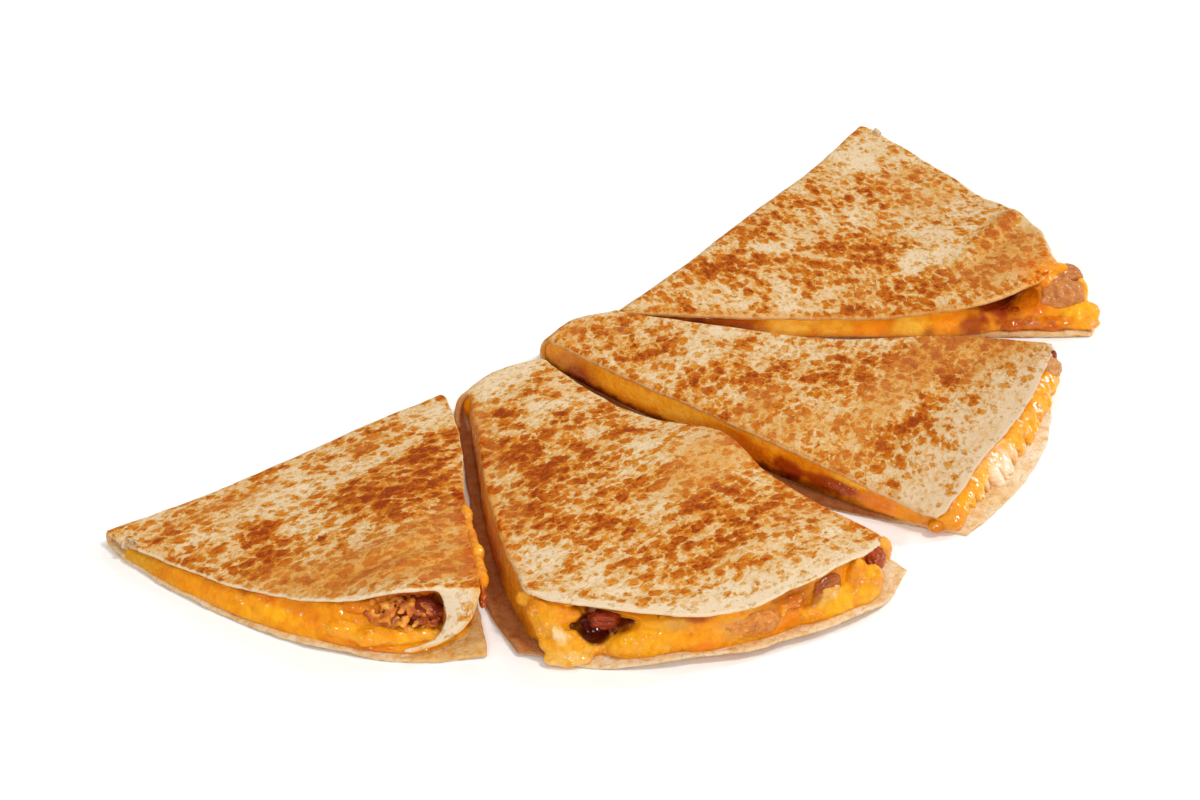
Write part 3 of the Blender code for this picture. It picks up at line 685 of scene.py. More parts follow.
def cheese_material(name="cheese", along=None):
    """Melted cheese: smooth, wet with fat, light passing a little way in."""
    n = Nodes(name)
    plain = n.place()
    tone = n.noise(plain, 3.5, 3.0, 0.55, 0.3)
    richer = n.mix(1.0, n.colour("tint"), (0.92, 0.76, 0.50), "MULTIPLY")
    colour = n.mix(n.step(tone, 0.40, 0.68), n.colour("tint"), richer)
    lighter = n.mix(1.0, n.colour("tint"), (1.05, 1.08, 1.10), "MULTIPLY")
    colour = n.mix(n.maths("MULTIPLY", n.step(n.noise(plain, 1.6, 3.0, 0.6), 0.52, 0.7), 0.7), colour, lighter)
    height = n.total(
        n.maths("MULTIPLY", n.noise(plain, 0.7, 1.5, 0.5), 0.40),
        n.maths("MULTIPLY", n.noise(plain, 2.0, 1.5, 0.5, 0.6), 1.4),
    )
    n.bump(height, 0.7, 0.0006)
    skin_bump = n.add("ShaderNodeBump")
    skin_bump.inputs["Strength"].default_value = 1.0
    skin_bump.inputs["Distance"].default_value = 0.00016
    waves = n.total(n.noise(plain, 1.6, 1.0, 0.5), n.maths("MULTIPLY", n.noise(plain, 3.4, 1.0, 0.5), 1.6),
                    n.maths("MULTIPLY", n.noise(plain, 0.9, 1.0, 0.5), 0.10))
    n.link(waves, skin_bump.inputs["Height"])
    n.link(skin_bump.outputs["Normal"], n.shader.inputs["Coat Normal"])
    dull = n.maths("MULTIPLY_ADD", n.noise(plain, 1.4, 2.0, 0.6), 0.30, 0.30)
    glint_beads = n.maths("MULTIPLY", n.step(n.noise(plain, 0.70, 2.0, 0.6), 0.615, 0.66),
                    n.step(n.noise(plain, 3.6, 2.0, 0.6), 0.49, 0.60))
    if along is not None:
        run = n.warp(n.place(turn=along, stretch=(2.6, 1, 1)), 2.0, 0.8)
        glint_beads = n.maths("MULTIPLY", n.step(n.noise(run, 1.15, 2.0, 0.5), 0.565, 0.60),
                        n.step(n.noise(plain, 5.0, 2.0, 0.6), 0.44, 0.54))
    glint_beads = n.maths("MULTIPLY", glint_beads, n.step(n.value("wet"), 0.2, 0.6))
    # the fat beads are also painted pale cream into the base colour: a painted highlight, on top of the coat's own
    # glints
    colour = n.mix(n.maths("MULTIPLY", glint_beads, 0.40 if along is None else 0.60), colour, linear(255, 236, 206))
    apart, joined = n.add("ShaderNodeSeparateColor"), n.add("ShaderNodeCombineColor")
    n.link(colour, apart.inputs["Color"])
    n.link(apart.outputs["Red"], joined.inputs["Red"])
    n.link(apart.outputs["Green"], joined.inputs["Green"])
    pale_share = n.maths("MULTIPLY_ADD", n.step(apart.outputs["Blue"], 0.0, 0.26), 0.66, 0.34)
    n.link(n.maths("MULTIPLY", apart.outputs["Blue"], pale_share), joined.inputs["Blue"])
    made = n.set(Base_Color=joined.outputs["Color"], Roughness=dull)
    n.shader.inputs["Specular IOR Level"].default_value = 0.05
    n.shader.inputs["Subsurface Weight"].default_value = 0.20
    n.shader.inputs["Subsurface Radius"].default_value = (1.0, 0.40, 0.08)
    n.shader.inputs["Subsurface Scale"].default_value = 0.0010
    wetter = n.step(n.noise(plain, 2.6, 2.0, 0.6), 0.40, 0.62)
    shine = n.maths("MULTIPLY", n.maths("MULTIPLY_ADD", n.value("wet"), 0.45, 0.36),
                    n.maths("MULTIPLY_ADD", wetter, 0.60, 0.40))
    n.link(n.maths("MAXIMUM", shine, glint_beads), n.shader.inputs["Coat Weight"])
    n.link(n.maths("MULTIPLY_ADD", glint_beads, 0.40, 0.03), n.shader.inputs["Coat Roughness"])
    n.link(n.maths("MULTIPLY_ADD", glint_beads, 1.35, 1.55), n.shader.inputs["Coat IOR"])
    return made


def meat_material():
    """Browned, seasoned chicken: fibres, moist."""
    n = Nodes("chicken")
    plain = n.place()
    tone = n.noise(plain, 1.9, 4.0, 0.66, 0.3)
    colour = n.mix(n.step(tone, 0.3, 0.7), n.mix(1.0, n.colour("tint"), (0.74, 0.62, 0.50), "MULTIPLY"),
                   n.mix(1.0, n.colour("tint"), (1.14, 1.13, 1.05), "MULTIPLY"))
    height = n.maths("MULTIPLY_ADD", n.noise(plain, 0.35, 2.0, 0.6), 0.3, tone)
    n.bump(height, 0.7, 0.0006)
    dull = n.maths("MULTIPLY_ADD", n.noise(plain, 0.7, 2.0, 0.6), 0.40, 0.30)
    made = n.set(Base_Color=colour, Roughness=dull)
    n.shader.inputs["Specular IOR Level"].default_value = 0.08
    glint_beads = n.step(n.noise(plain, 0.60, 2.0, 0.6), 0.62, 0.67)
    n.link(n.maths("MAXIMUM", glint_beads, n.maths("MULTIPLY_ADD", n.step(n.noise(plain, 1.0, 2.0, 0.6), 0.48, 0.6), 0.60, 0.10)),
           n.shader.inputs["Coat Weight"])
    n.link(n.maths("MULTIPLY_ADD", glint_beads, 0.30, 0.10), n.shader.inputs["Coat Roughness"])
    n.link(n.maths("MULTIPLY_ADD", glint_beads, 1.1, 1.5), n.shader.inputs["Coat IOR"])
    return made


# ---------------------------------------------------------------------------------------------
# the tortillas
# ---------------------------------------------------------------------------------------------
def spans(layer):
    """Rough lengths in mm of a layer's rim side and cut side."""
    a, b, c, d = (np.array(layer[k]) for k in "ABCD")
    return max(np.hypot(*(c - d)), np.hypot(*(b - a))), max(np.hypot(*(d - a)), np.hypot(*(c - b)))


def ragged(points, s, r, wide, deep, seed, cut, rim):
    """The sheet's outline, made a little uneven in plan at the cuts and at the rim."""
    step_s, step_r = np.gradient(points[..., :2], axis=1), np.gradient(points[..., :2], axis=0)
    step_s /= np.maximum(np.linalg.norm(step_s, axis=-1), 1e-6)[..., None]
    step_r /= np.maximum(np.linalg.norm(step_r, axis=-1), 1e-6)[..., None]
    step_r *= np.sign(np.gradient(r, axis=0).mean() or 1)     # toward the rim
    line = lambda t, length, k: rough(
        np.stack([t * length, 0 * t + 7.3 * k, 0 * t + seed], -1), 9.0, seed + k, 4, 0.55)
    left, right, front = line(r, deep, 1), line(r, deep, 2), line(s, wide, 3)
    near = lambda t, length: np.exp(-((t * length / 4.0) ** 2))
    points[..., :2] += (cut * right * near(1 - s, wide))[..., None] * step_s
    points[..., :2] -= (cut * left * near(s, wide))[..., None] * step_s
    points[..., :2] += (rim * front * near(1 - r, deep))[..., None] * step_r
    return points


def sheet(number, material):
    """The tortilla of one wedge as a fine shell."""
    wedge = WEDGES[number]
    wide, deep = spans(wedge["top"])
    flap = wedge.get("flap")
    s = stations(int(wide / 0.84), wide, (0.25, 0.5))
    if flap:
        s = np.unique(np.append(s, flap["start"]))
    down = stations(int(deep / 0.84), deep, (0.25, 0.5))[::-1]
    turns = np.linspace(0, math.pi, 20)[1:-1]
    out = np.unique(np.concatenate([np.linspace(0, 1, int(deep / 1.1)), 1 - np.array([0.3, 0.6]) / deep]))
    n = len(s)

    S, R = np.meshgrid(s, down)
    top = ragged(layer_at(wedge["top"], S, R, wedge["crown"]), S, R, wide, deep, 11 * number, 0.55, 0.75)
    plan = top[..., :2]
    flat = np.stack([plan[..., 0], plan[..., 1], 0 * S + 3.1 * number], -1)
    inside = np.minimum(np.minimum(S, 1 - S) * wide, (1 - R) * deep)
    for end in (0.0, 1.0):
        if flap and end:
            continue
        gap = np.hypot((S - end) * wide, (1 - R) * deep)
        pull = (1.5 * np.exp(-(gap / 2.4) ** 2))[..., None]
        heart = np.array([plan[..., 0].mean(), plan[..., 1].mean()])
        to_heart = heart - plan
        top[..., :2] += pull * to_heart / np.linalg.norm(to_heart, axis=-1, keepdims=True)
    top[..., 2] += spots(plan, SWELLS[number]) * ease(-1, 5, (1 - R) * deep + 2)
    top[..., 2] += 0.30 * rough(flat, 15.0, 5 * number, 2)
    top[..., 2] += 0.20 * rough(flat, 4.5, 5 * number + 1, 2) * ease(0, 4, inside + 1)
    top[..., 2] += 0.45 * bumps(np.stack([S * wide, 0 * S, 0 * S + number], -1), 11.0, 77) * ease(0.86, 1, R)

    SF, T = np.meshgrid(s, turns)
    fold = fold_at(wedge, SF, T)
    fold[..., :2] += 0.25 * rough(fold, 7.0, 40 + number, 3)[..., None] * np.array([0, 1])
    keep = 1 - T / math.pi
    fold[..., 2] += keep**2 * (top[-1, :, 2] - layer_at(wedge["top"], s, 0 * s, wedge["crown"])[:, 2])

    SB, RB = np.meshgrid(s, out)
    wide_b, deep_b = spans(wedge["bottom"])
    low = ragged(layer_at(wedge["bottom"], SB, RB), SB, RB, wide_b, deep_b, 17 * number, 0.5, 0.9)
    lift = bumps(np.stack([SB * wide_b, 0 * SB, 0 * SB + 9.0 * number], -1), 13.0, 55)
    low[..., 2] += np.maximum(lift, 0) * 0.9 * ease(0.9, 1, RB)

    if number == 2:
        low[..., 2] += 1.9 * ease(0.945, 1.0, RB) * ease(0.16, 0.34, SB) * ease(0.97, 0.8, SB)
    rows = [top.reshape(-1, 3), fold.reshape(-1, 3), low.reshape(-1, 3)]
    points = np.concatenate(rows)
    count = len(points) // n
    j, i = np.meshgrid(np.arange(count - 1), np.arange(n - 1), indexing="ij")
    base = (j * n + i).ravel()
    faces = np.stack([base, base + 1, base + n + 1, base + n], -1)
    part = np.concatenate([np.zeros(top.shape[:2]), np.ones(fold.shape[:2]), np.full(low.shape[:2], 2.0)]).ravel()
    S_all = np.concatenate([S, SF, SB]).ravel()
    R_all = np.concatenate([R, 0 * SF, RB]).ravel()
    white = np.zeros(len(points))

    if flap:
        first = int(np.argmin(abs(s - flap["start"])))
        columns = np.arange(first, n)
        share = (s[columns] - flap["start"]) / (1 - flap["start"])
        above, steps = columns, 44
        rim_line = points[columns]
        more, more_faces = [], []
        start_line = None
        for k in range(1, steps + 1):
            b = k / steps
            ends = [np.array([curve(np.array(flap[e])[:, c], np.array(b)) for c in range(3)])
                    for e in ("inner", "outer")]
            line = ends[0] + share[:, None] * (ends[1] - ends[0])
            if start_line is None:
                zero = [np.array([curve(np.array(flap[e])[:, c], np.array(0.0)) for c in range(3)])
                        for e in ("inner", "outer")]
                start_line = zero[0] + share[:, None] * (zero[1] - zero[0])
            line = line + (rim_line - start_line) * (1 - b) ** 3
            # the flap is a little dished, and ragged at its inner edge
            dish = np.sin(math.pi * share) * 0.9 * math.sin(math.pi * min(1, b * 1.2))
            line[:, 0] -= dish * 0.7
            line[:, 1] -= dish * 0.5
            wave = 1.1 * rough(np.array([[b * 26, 3.3, 1.0]]), 3.2, 91, 3)[0]
            line[:, :2] += (1 - share)[:, None] ** 3 * wave * np.array([-0.8, 0.6])
            index = len(points) + len(more) * len(columns) + np.arange(len(columns))
            more.append(line)
            more_faces.append(np.stack([index[:-1], index[1:], above[1:], above[:-1]], -1))
            above = index
        added = np.concatenate(more)
        points = np.concatenate([points, added])
        faces = np.concatenate([faces] + more_faces)
        part = np.concatenate([part, np.full(len(added), 3.0)])
        S_all = np.concatenate([S_all, np.tile(s[columns], steps)])
        R_all = np.concatenate([R_all, np.ones(len(added))])
        white = np.concatenate([white, np.ones(len(added))])
        corner = np.array([-112.0, -16.5, 13.8])
        far = np.linalg.norm(points - corner, axis=1)
        weight = (1 - ease(6.5, 10.5, far)) * ((part == 3) | ((part == 0) & (R_all > 0.8)))
        points = relaxed(points, faces, weight, 26)

    normals = point_normals(points, faces)
    rim_far = np.where(part >= 1.5, (1 - R_all) * deep, (1 - R_all) * deep)
    rim_far = np.where(part == 1, 99.0, rim_far)
    thick = SHEET * (0.62 + 0.38 * ease(0, 5, rim_far)) * (1 + 0.10 * rough(points, 5.0, 300 + number, 2))
    thick = np.where(part == 3, SHEET * 0.62, thick)

    toast = 0.5 + spots(points[:, :2], TOAST[number]) * 0.9
    gold = spots(points[:, :2], GOLD[number])
    lip = {1: (0.9, -0.4), 2: (2.6, 0.3), 3: (2.0, 0.3), 4: (1.0, 0.2)}[number]
    pale = 0.75 * ease(*lip, (1 - R_all) * deep + 1.2 * rough(points, 6.0, 8, 3)) * (part == 0)
    if number == 2:      # its rim is a thick white band
        pale = np.maximum(pale, ease(4.2, 1.2, (1 - R_all) * deep + 2.2 * rough(points, 7.0, 9, 3))
                          * (part == 0) * ease(0.95, 0.6, S_all) * 0.9)
    pale = np.maximum(pale, white * 0.55)
    toast = np.where(part == 3, 0.2, toast)
    toast = np.where(part == 2, 0.4, toast)
    gold = np.where(part == 3, -0.4, gold)

    made = shell(
        f"wedge{number}_tortilla_sheet", points, faces, normals, thick, 0.32,
        dict(toast=toast, gold=gold, pale=pale, part=part, s=S_all, r=R_all), material, number,
    )
    return made


def stain_and_shade_of(number, points, part, inner, s, r):
    """A tint over the sheet: cheese soaked through at the cuts, yellowing, and painted shade where the sheet lies in
    the gap beside the next wedge.
    """
    tint = np.ones((len(points), 3))

    def blend(weight, colour):
        nonlocal tint
        tint = tint * (1 - weight[:, None]) + weight[:, None] * np.array(colour)

    wide, deep = spans(WEDGES[number]["top"])
    wobble = 1.0 * rough(points, 5.0, 200 + number, 3)
    left, right, rim = s * wide + wobble, (1 - s) * wide + wobble, (1 - r) * deep + wobble
    upper = (part == 0).astype(float)
    orange, ochre = (0.95, 0.62, 0.22), (0.93, 0.74, 0.42)
    if number == 1:
        blend(ease(3.2, 0.3, right) * upper * ease(0.35, 0.6, r) * 0.9, orange)
        blend((part == 3) * 0.9, (0.93, 0.94, 1.0))
        blend((part == 3) * ease(3.2, 0.6, (1 - s) * wide + 0.6 * wobble) * 0.8, (0.95, 0.72, 0.38))
    if number == 2:
        blend(ease(3.6, 0.4, left) * upper * ease(1.0, 0.7, r) * 0.9, orange)
        blend(ease(3.0, 0.3, right) * upper * ease(0.35, 0.55, r) * 0.8, orange)
    if number == 3:
        blend(ease(2.5, 0.3, left) * upper * 0.75, ochre)
        blend(ease(0.10, 0.0, r + 0.02 * wobble) * ease(0.8, 0.2, s) * upper * 0.6, (1.0, 0.80, 0.40))
    if number == 3:
        blend(ease(34, 6, rim) * upper * 0.85, (0.84, 0.80, 0.78))
    if number == 4:
        blend(ease(2.6, 0.2, left) * upper * 0.85, (0.93, 0.70, 0.36))
        blend(ease(14.0, 7.0, np.hypot(points[:, 0] - 99.5, points[:, 1] + 24.5) + wobble) * upper * 0.95, (1.05, 0.60, 0.16))
    # the cut edges take the colour of the filling
    at_edge = ease(0.1, 0.45, inner) * ease(0.9, 0.55, inner)
    cut = np.minimum(left, right)
    blend(at_edge * ease(3, 1, cut) * 0.55, (1.0, 0.72, 0.36))
    # the bottom layer's upper face is greasy
    lower = (part == 2) * ease(0.2, 0.7, inner)
    blend(lower * ease(0, 1, rough(points, 7.0, 60 + number, 2) + 0.6) * 0.7, (0.97, 0.84, 0.60))
    if number == 3:
        blend(lower * ease(0.25, 0.5, s) * ease(30, 12, rim) * 0.9, (1.10, 1.16, 1.28))
    # painted shade: by the left cut, the fold and the bottom layer lie in the gap beside the next wedge and are
    # painted dark brown
    painted_gap_shade = ease(9.0, 5.0, left) * (part >= 1) * ease(0.15, 0.4, inner)
    if number == 2:
        blend(painted_gap_shade * 0.96, (0.60, 0.29, 0.14))
    if number == 3:
        blend(painted_gap_shade * ease(0.93, 0.82, r) * 0.96, (0.42, 0.17, 0.08))
    if number == 4:
        blend(painted_gap_shade * ease(90, 60, points[:, 0]) * 0.96, (0.60, 0.25, 0.10))
    if number == 1:
        near_corner = (part == 2) * ease(24, 14, np.hypot(points[:, 0] + 112, points[:, 1] + 24))
        blend(near_corner * ease(0.1, 0.5, inner) * 0.9, (0.93, 0.72, 0.40))
    # the end of the fold glows yellow with fat
    blend(ease(2.5, 0.4, left) * (part == 1) * 0.8, (1.0, 0.70, 0.30) if number == 3 else (0.95, 0.72, 0.46))
    return tint


def shell(name, points, faces, normals, thick, bulge, values, material, number):
    """A closed sheet: outer face, inner face, and a rounded edge between them."""
    inner_points = points - normals * thick[:, None]
    inner_points[:, 2] = np.maximum(inner_points[:, 2], 0.35)
    edges = np.concatenate([faces[:, [k, (k + 1) % 4]] for k in range(4)])
    key = edges[:, 0] * (len(points) + 1) + edges[:, 1]
    back = edges[:, 1] * (len(points) + 1) + edges[:, 0]
    open_edges = edges[~np.isin(key, back)]
    along = points[open_edges[:, 1]] - points[open_edges[:, 0]]
    outward = np.cross(along, normals[open_edges[:, 0]] + normals[open_edges[:, 1]])
    outward /= np.maximum(np.linalg.norm(outward, axis=1), 1e-9)[:, None]
    ring = np.unique(open_edges)
    reach = np.zeros_like(points)
    np.add.at(reach, open_edges[:, 0], outward)
    np.add.at(reach, open_edges[:, 1], outward)
    reach = reach[ring] / np.maximum(np.linalg.norm(reach[ring], axis=1), 1e-9)[:, None]
    count, levels = len(points), 3
    all_points, shares = [points, inner_points], [np.zeros(count), np.ones(count)]
    index = {0: np.arange(count), levels + 1: np.arange(count) + count}
    source = [np.arange(count), np.arange(count)]
    start = 2 * count
    for k in range(1, levels + 1):
        f = k / (levels + 1)
        row = points[ring] * (1 - f) + inner_points[ring] * f
        swell = bulge * math.sin(math.pi * f) ** 0.7
        swell = swell * (1 + 0.5 * rough(row, 3.0, 500 + number, 2))
        row = row + reach * (thick[ring] * swell)[:, None]
        row[:, 2] = np.maximum(row[:, 2], 0.02)
        all_points.append(row)
        shares.append(np.full(len(ring), f))
        source.append(ring)
        table = np.full(count, -1)
        table[ring] = start + np.arange(len(ring))
        index[k] = table
        start += len(ring)
    quads = [faces, faces[:, ::-1] + count]
    a, b = open_edges[:, 0], open_edges[:, 1]
    for k in range(levels + 1):
        upper, lower = index[k], index[k + 1]
        quads.append(np.stack([upper[b], upper[a], lower[a], lower[b]], -1))
    points_all = np.concatenate(all_points)
    share, source = np.concatenate(shares), np.concatenate(source)
    layers = {key: value[source] for key, value in values.items()}
    s, r, part = layers.pop("s"), layers.pop("r"), layers.pop("part")
    layers["inner"] = share
    layers["stain_and_shade"] = stain_and_shade_of(number, points_all, part, share, s, r)
    return mesh_object(name, points_all, np.concatenate(quads), (), material, layers)


# ---------------------------------------------------------------------------------------------
# the filling
# ---------------------------------------------------------------------------------------------
CHEESE = linear(230, 148, 40)
ORANGE = linear(222, 120, 30)
OCHRE = linear(200, 132, 52)
YELLOW = linear(236, 172, 52)
CARAMEL = linear(172, 96, 38)
# painted shade, for the walls of hollows under the lips
HOLLOW_SHADE = linear(88, 16, 7)
RED = linear(150, 50, 22)
# painted shade, for hollows and for the feet of cut walls in the gaps between wedges
DEEP_SHADE = linear(84, 20, 8)
BEIGE_MEAT = linear(206, 150, 92)

# Stains in each filling, with painted shade in gaps and hollows and painted light on shaded cut walls: (x, y, z,
# radius x, y, z, colour, amount).
STAINS_LIGHT_AND_SHADE = {
    1: ((-139, 55, 3, 6, 12, 4, OCHRE, 0.5), (-128, -4, 2, 8, 6, 2.2, ORANGE, 0.7),
        (-128, -3, 2, 3, 3, 1.5, RED, 0.5), (-134, 12, 6, 4, 10, 2, ORANGE, 0.5),
        (-137, 28, 6.5, 4, 3, 1.2, RED, 0.5), (-136, 22, 6.8, 4, 4, 1.4, ORANGE, 0.7),
        (-137, 30, 2.4, 4, 9, 1.4, linear(244, 170, 40), 0.7), (-135, 17, 4.4, 5, 6, 1.6, linear(246, 178, 44), 0.8),
        (-133, 8, 4.0, 5, 5, 1.6, linear(236, 150, 40), 0.7), (-139, 42, 3.4, 5, 8, 1.4, linear(238, 150, 30), 0.6),
        (-141, 62, 2.6, 4, 8, 2.4, linear(206, 150, 60), 0.9),
        (-113, -9, 5, 4, 5, 3, RED, 0.6), (-119, -11, 3.2, 6, 4, 1.6, YELLOW, 0.8),
        (-136, 25, 3, 3, 8, 1.5, YELLOW, 0.5)),
    # wedge 2: the deep brown patch and the dark patch at the hollow under the lip, near x -95, are painted shade
    2: ((-96, -40, 8, 6, 5, 5, DEEP_SHADE, 0.9), (-103, -30, 11, 4, 4, 4, CHEESE, 0.8),
        (-91, -52, 2.4, 5, 4, 1.8, linear(206, 168, 76), 0.7), (-81.2, -54.4, 5.4, 1.4, 3, 4, CARAMEL, 0.5),
        (-75.6, -60.6, 8.8, 1.9, 3, 1.4, linear(226, 78, 24), 0.9), (-76, -61.4, 2.9, 2.6, 3, 1.1, linear(214, 84, 20), 0.8),
        (-84, -54, 8, 8, 5, 4, YELLOW, 0.5), (-82, -56, 9.5, 4, 4, 2, BEIGE_MEAT, 0.8),
        (-79, -60, 11, 3, 4, 1.6, RED, 0.8), (-78, -61, 4, 5, 4, 2, ORANGE, 0.9),
        (-70, -66, 7, 9, 5, 4, BEIGE_MEAT, 0.7), (-62, -68, 9, 8, 4, 3, CARAMEL, 0.6),
        (-55, -69, 9, 7, 4, 3, CARAMEL, 0.7), (-49, -72, 5.5, 6, 3, 1.6, linear(232, 190, 140), 0.95),
        (-60, -70, 5, 5, 4, 2, ORANGE, 0.6), (-42, -74, 4, 9, 4, 4, YELLOW, 0.9),
        (-30, -72, 8, 3, 3, 3, RED, 0.7), (-34, -74, 4, 4, 3, 3, CHEESE, 0.8),
        (-84, 0, 6, 6, 30, 9, ORANGE, 0.5), (-60, 25, 6, 20, 20, 9, OCHRE, 0.4),
        (-100, -25, 3, 6, 6, 3, CARAMEL, 0.5), (-93.5, -42.5, 6.4, 6.5, 6.5, 6.4, HOLLOW_SHADE, 1.0)),
    # wedge 3: the long light band along the top of its cut wall is painted light, and the deep brown along the
    # wall's foot is painted shade, where the wall stands in the gap beside wedge 2
    3: ((-10, 40, 4, 4, 10, 5, CARAMEL, 0.6), (-10, 41, 4, 3, 4, 2.5, RED, 0.6),
        (-10, 25, 6, 4, 12, 4, linear(240, 176, 70), 0.9), (-10, 8, 6, 4, 12, 4, linear(244, 186, 84), 1.0),
        (-10, -5, 6, 4, 10, 4, linear(232, 160, 60), 0.6), (-10, -14, 6, 4, 8, 4, ORANGE, 0.5),
        (-9, -27, 4.6, 4, 6, 3.0, RED, 0.9), (-9, -40, 4.6, 4, 12, 2.6, RED, 0.9),
        (-9, -30, 2, 4, 20, 1.6, DEEP_SHADE, 0.7), (-6, -52, 4, 4, 6, 3, ORANGE, 0.7),
        (-7, -46, 7.5, 4, 8, 1.6, linear(246, 190, 90), 0.8), (-9, -20, 8.5, 4, 6, 1.6, linear(246, 190, 90), 0.7),
        (0, -66, 3, 8, 8, 3, OCHRE, 0.5), (8, -70, 2.5, 6, 3, 2, CHEESE, 0.5),
        (30, -62, 3, 14, 5, 4, CHEESE, 0.5), (62, -49, 6, 6, 4, 3, YELLOW, 0.5),
        (-10, 20, 9.8, 4, 60, 1.8, linear(240, 176, 80), 0.8), (-10, 20, 1.0, 4, 60, 2.2, DEEP_SHADE, 0.9)),
    # wedge 4: the dark red and deep brown near the fold end of its cut wall are painted shade in the gap beside
    # wedge 3; the pale yellows and oranges along that wall are its own colours, painted lighter to make up for the
    # shade there; the dark patch in the hollow under the lip is painted shade
    4: ((30, 30, 4, 12, 16, 5, RED, 0.8), (24, 38, 4, 10, 10, 5, DEEP_SHADE, 0.6),
        (43, 18, 5, 7, 7, 4, linear(250, 196, 96), 0.95), (50, 10, 5, 6, 7, 4, linear(248, 188, 80), 0.9),
        (57, 3, 5, 5, 5, 4, linear(250, 160, 40), 0.9), (57, 4, 5, 1.6, 1.6, 1.5, RED, 0.8),
        (64, -5, 5, 5, 5, 4, linear(250, 196, 90), 1.0), (67, -8, 3, 2, 3, 2, CARAMEL, 0.7),
        (70, -11, 5, 4, 4, 4, linear(250, 160, 50), 0.9),
        (76, -15, 4, 4, 5, 5, RED, 0.8), (84, -17, 7, 7, 5, 4, RED, 1.0), (84, -17, 8, 8, 7, 5, RED, 0.8), (88.4, -20.6, 8.8, 6.2, 6.0, 3.9, HOLLOW_SHADE, 1.0),
        (86, -19, 4, 6, 5, 3, RED, 0.7), (92, -22, 6, 6, 5, 4, ORANGE, 0.9),
        (60, 0, 0.8, 60, 40, 1.2, CARAMEL, 0.6),
        (100, -30, 4, 6, 5, 4, YELLOW, 0.8), (96, -22, 11, 6, 4, 2, ORANGE, 0.9)),
}
KNOBS = {
    1: ((-134, 16, 4, 9, 2.5, 0.5), (-131, 2, 3.5, 6, 2, 0.7), (-123, -9, 3.2, 5, 1.8, 0.9),
        (-137, 33, 3.5, 7, 1.8, 0.4)),
    2: ((-99, -37, 5, 4, 3.5, 1.0), (-87, -51, 4.5, 9, 3.6, 1.8), (-93, -43, 9.5, 9, 3.8, -4.5), (-94.2, -42, 6.6, 5, 3.0, -4.2),
        (-78, -60, 4.0, 5, 3.0, 1.2), (-60, -68, 4, 8, 3.0, 0.9), (-45, -72, 4.5, 9, 3.0, 1.3),
        (-36, -73, 6, 4, 4.5, 1.3), (-58, -68, 11, 6, 1.6, -1.2)),
    3: ((12, -66, 3, 7, 2.2, 0.7), (30, -60, 4, 7, 3, 0.9), (45, -54, 4.5, 8, 3, 0.9),
        (60, -47, 4.5, 6, 3, 0.8), (2, -68, 2.5, 5, 2, 0.6)),
    4: ((87.2, -20.4, 8.6, 6.2, 3.8, -6.5), (84, -17, 3.6, 7, 2.4, 0.7), (95, -24, 4, 5, 3, 0.9),
        (58, 4, 4, 7, 3, 0.4), (66, -6, 4, 6, 3, 0.4)),
}


def side_mix(values, s, r):
    """One number from the (left, rim, right) values of a filling, by how near each side is."""
    left, rim, right = values
    pull_rim = ease(0.82, 0.97, r)
    return (1 - pull_rim) * np.where(s < 0.5, left, right) + pull_rim * rim


def fold_room(number, s):
    """How far in mm the filling can reach past the fold line."""
    return np.maximum(FOLD_DEPTH * side(WEDGES[number]["top"], "fold", s)[..., 2] - 1.1, 0.6)


def filling_at(number, s, r, w):
    """The filling's plain body: w runs from its foot (0) to its top (1)."""
    wedge, fill = WEDGES[number], FILLING[number]
    deep = spans(wedge["top"])[1]
    past = np.maximum(-r, 0) * deep
    r = np.maximum(r, 0)
    upper = layer_at(wedge["top"], s, r, wedge["crown"])
    lower = layer_at(wedge["bottom"], s, r)
    ends = side_mix(fill["lean"], s, r)
    share = (ends * (1 - w) ** 1.3)[..., None]
    point = upper + share * (lower - upper)
    for at_s, at_r, wide_s, wide_r, run_x, run_y in fill["spills"]:
        near = np.exp(-(((s - at_s) / wide_s) ** 2) - ((r - at_r) / wide_r) ** 2)
        point[..., :2] += (near * (1 - w**5))[..., None] * np.array([run_x, run_y])
    plan = upper[..., :2]
    height = upper[..., 2] - 1.25 + 0.8 * spots(plan, SWELLS[number])
    for at_s, at_r, wide_s, wide_r, depth in fill["dips"]:
        height = height - depth * np.exp(-(((s - at_s) / wide_s) ** 2) - ((r - at_r) / wide_r) ** 2)
    foot = 1.25
    height = np.maximum(height, foot + 0.8)
    squeeze = np.sqrt(np.clip(1 - (past / (fold_room(number, s) + 0.3)) ** 2, 0.05, 1))
    point[..., 2] = 0.5 * (foot + height) + (w - 0.5) * (height - foot) * squeeze
    line = np.array(wedge["top"]["B"]) - np.array(wedge["top"]["A"])
    outward = np.array([-line[1], line[0]]) / np.hypot(*line)
    point[..., :2] += past[..., None] * outward
    return point


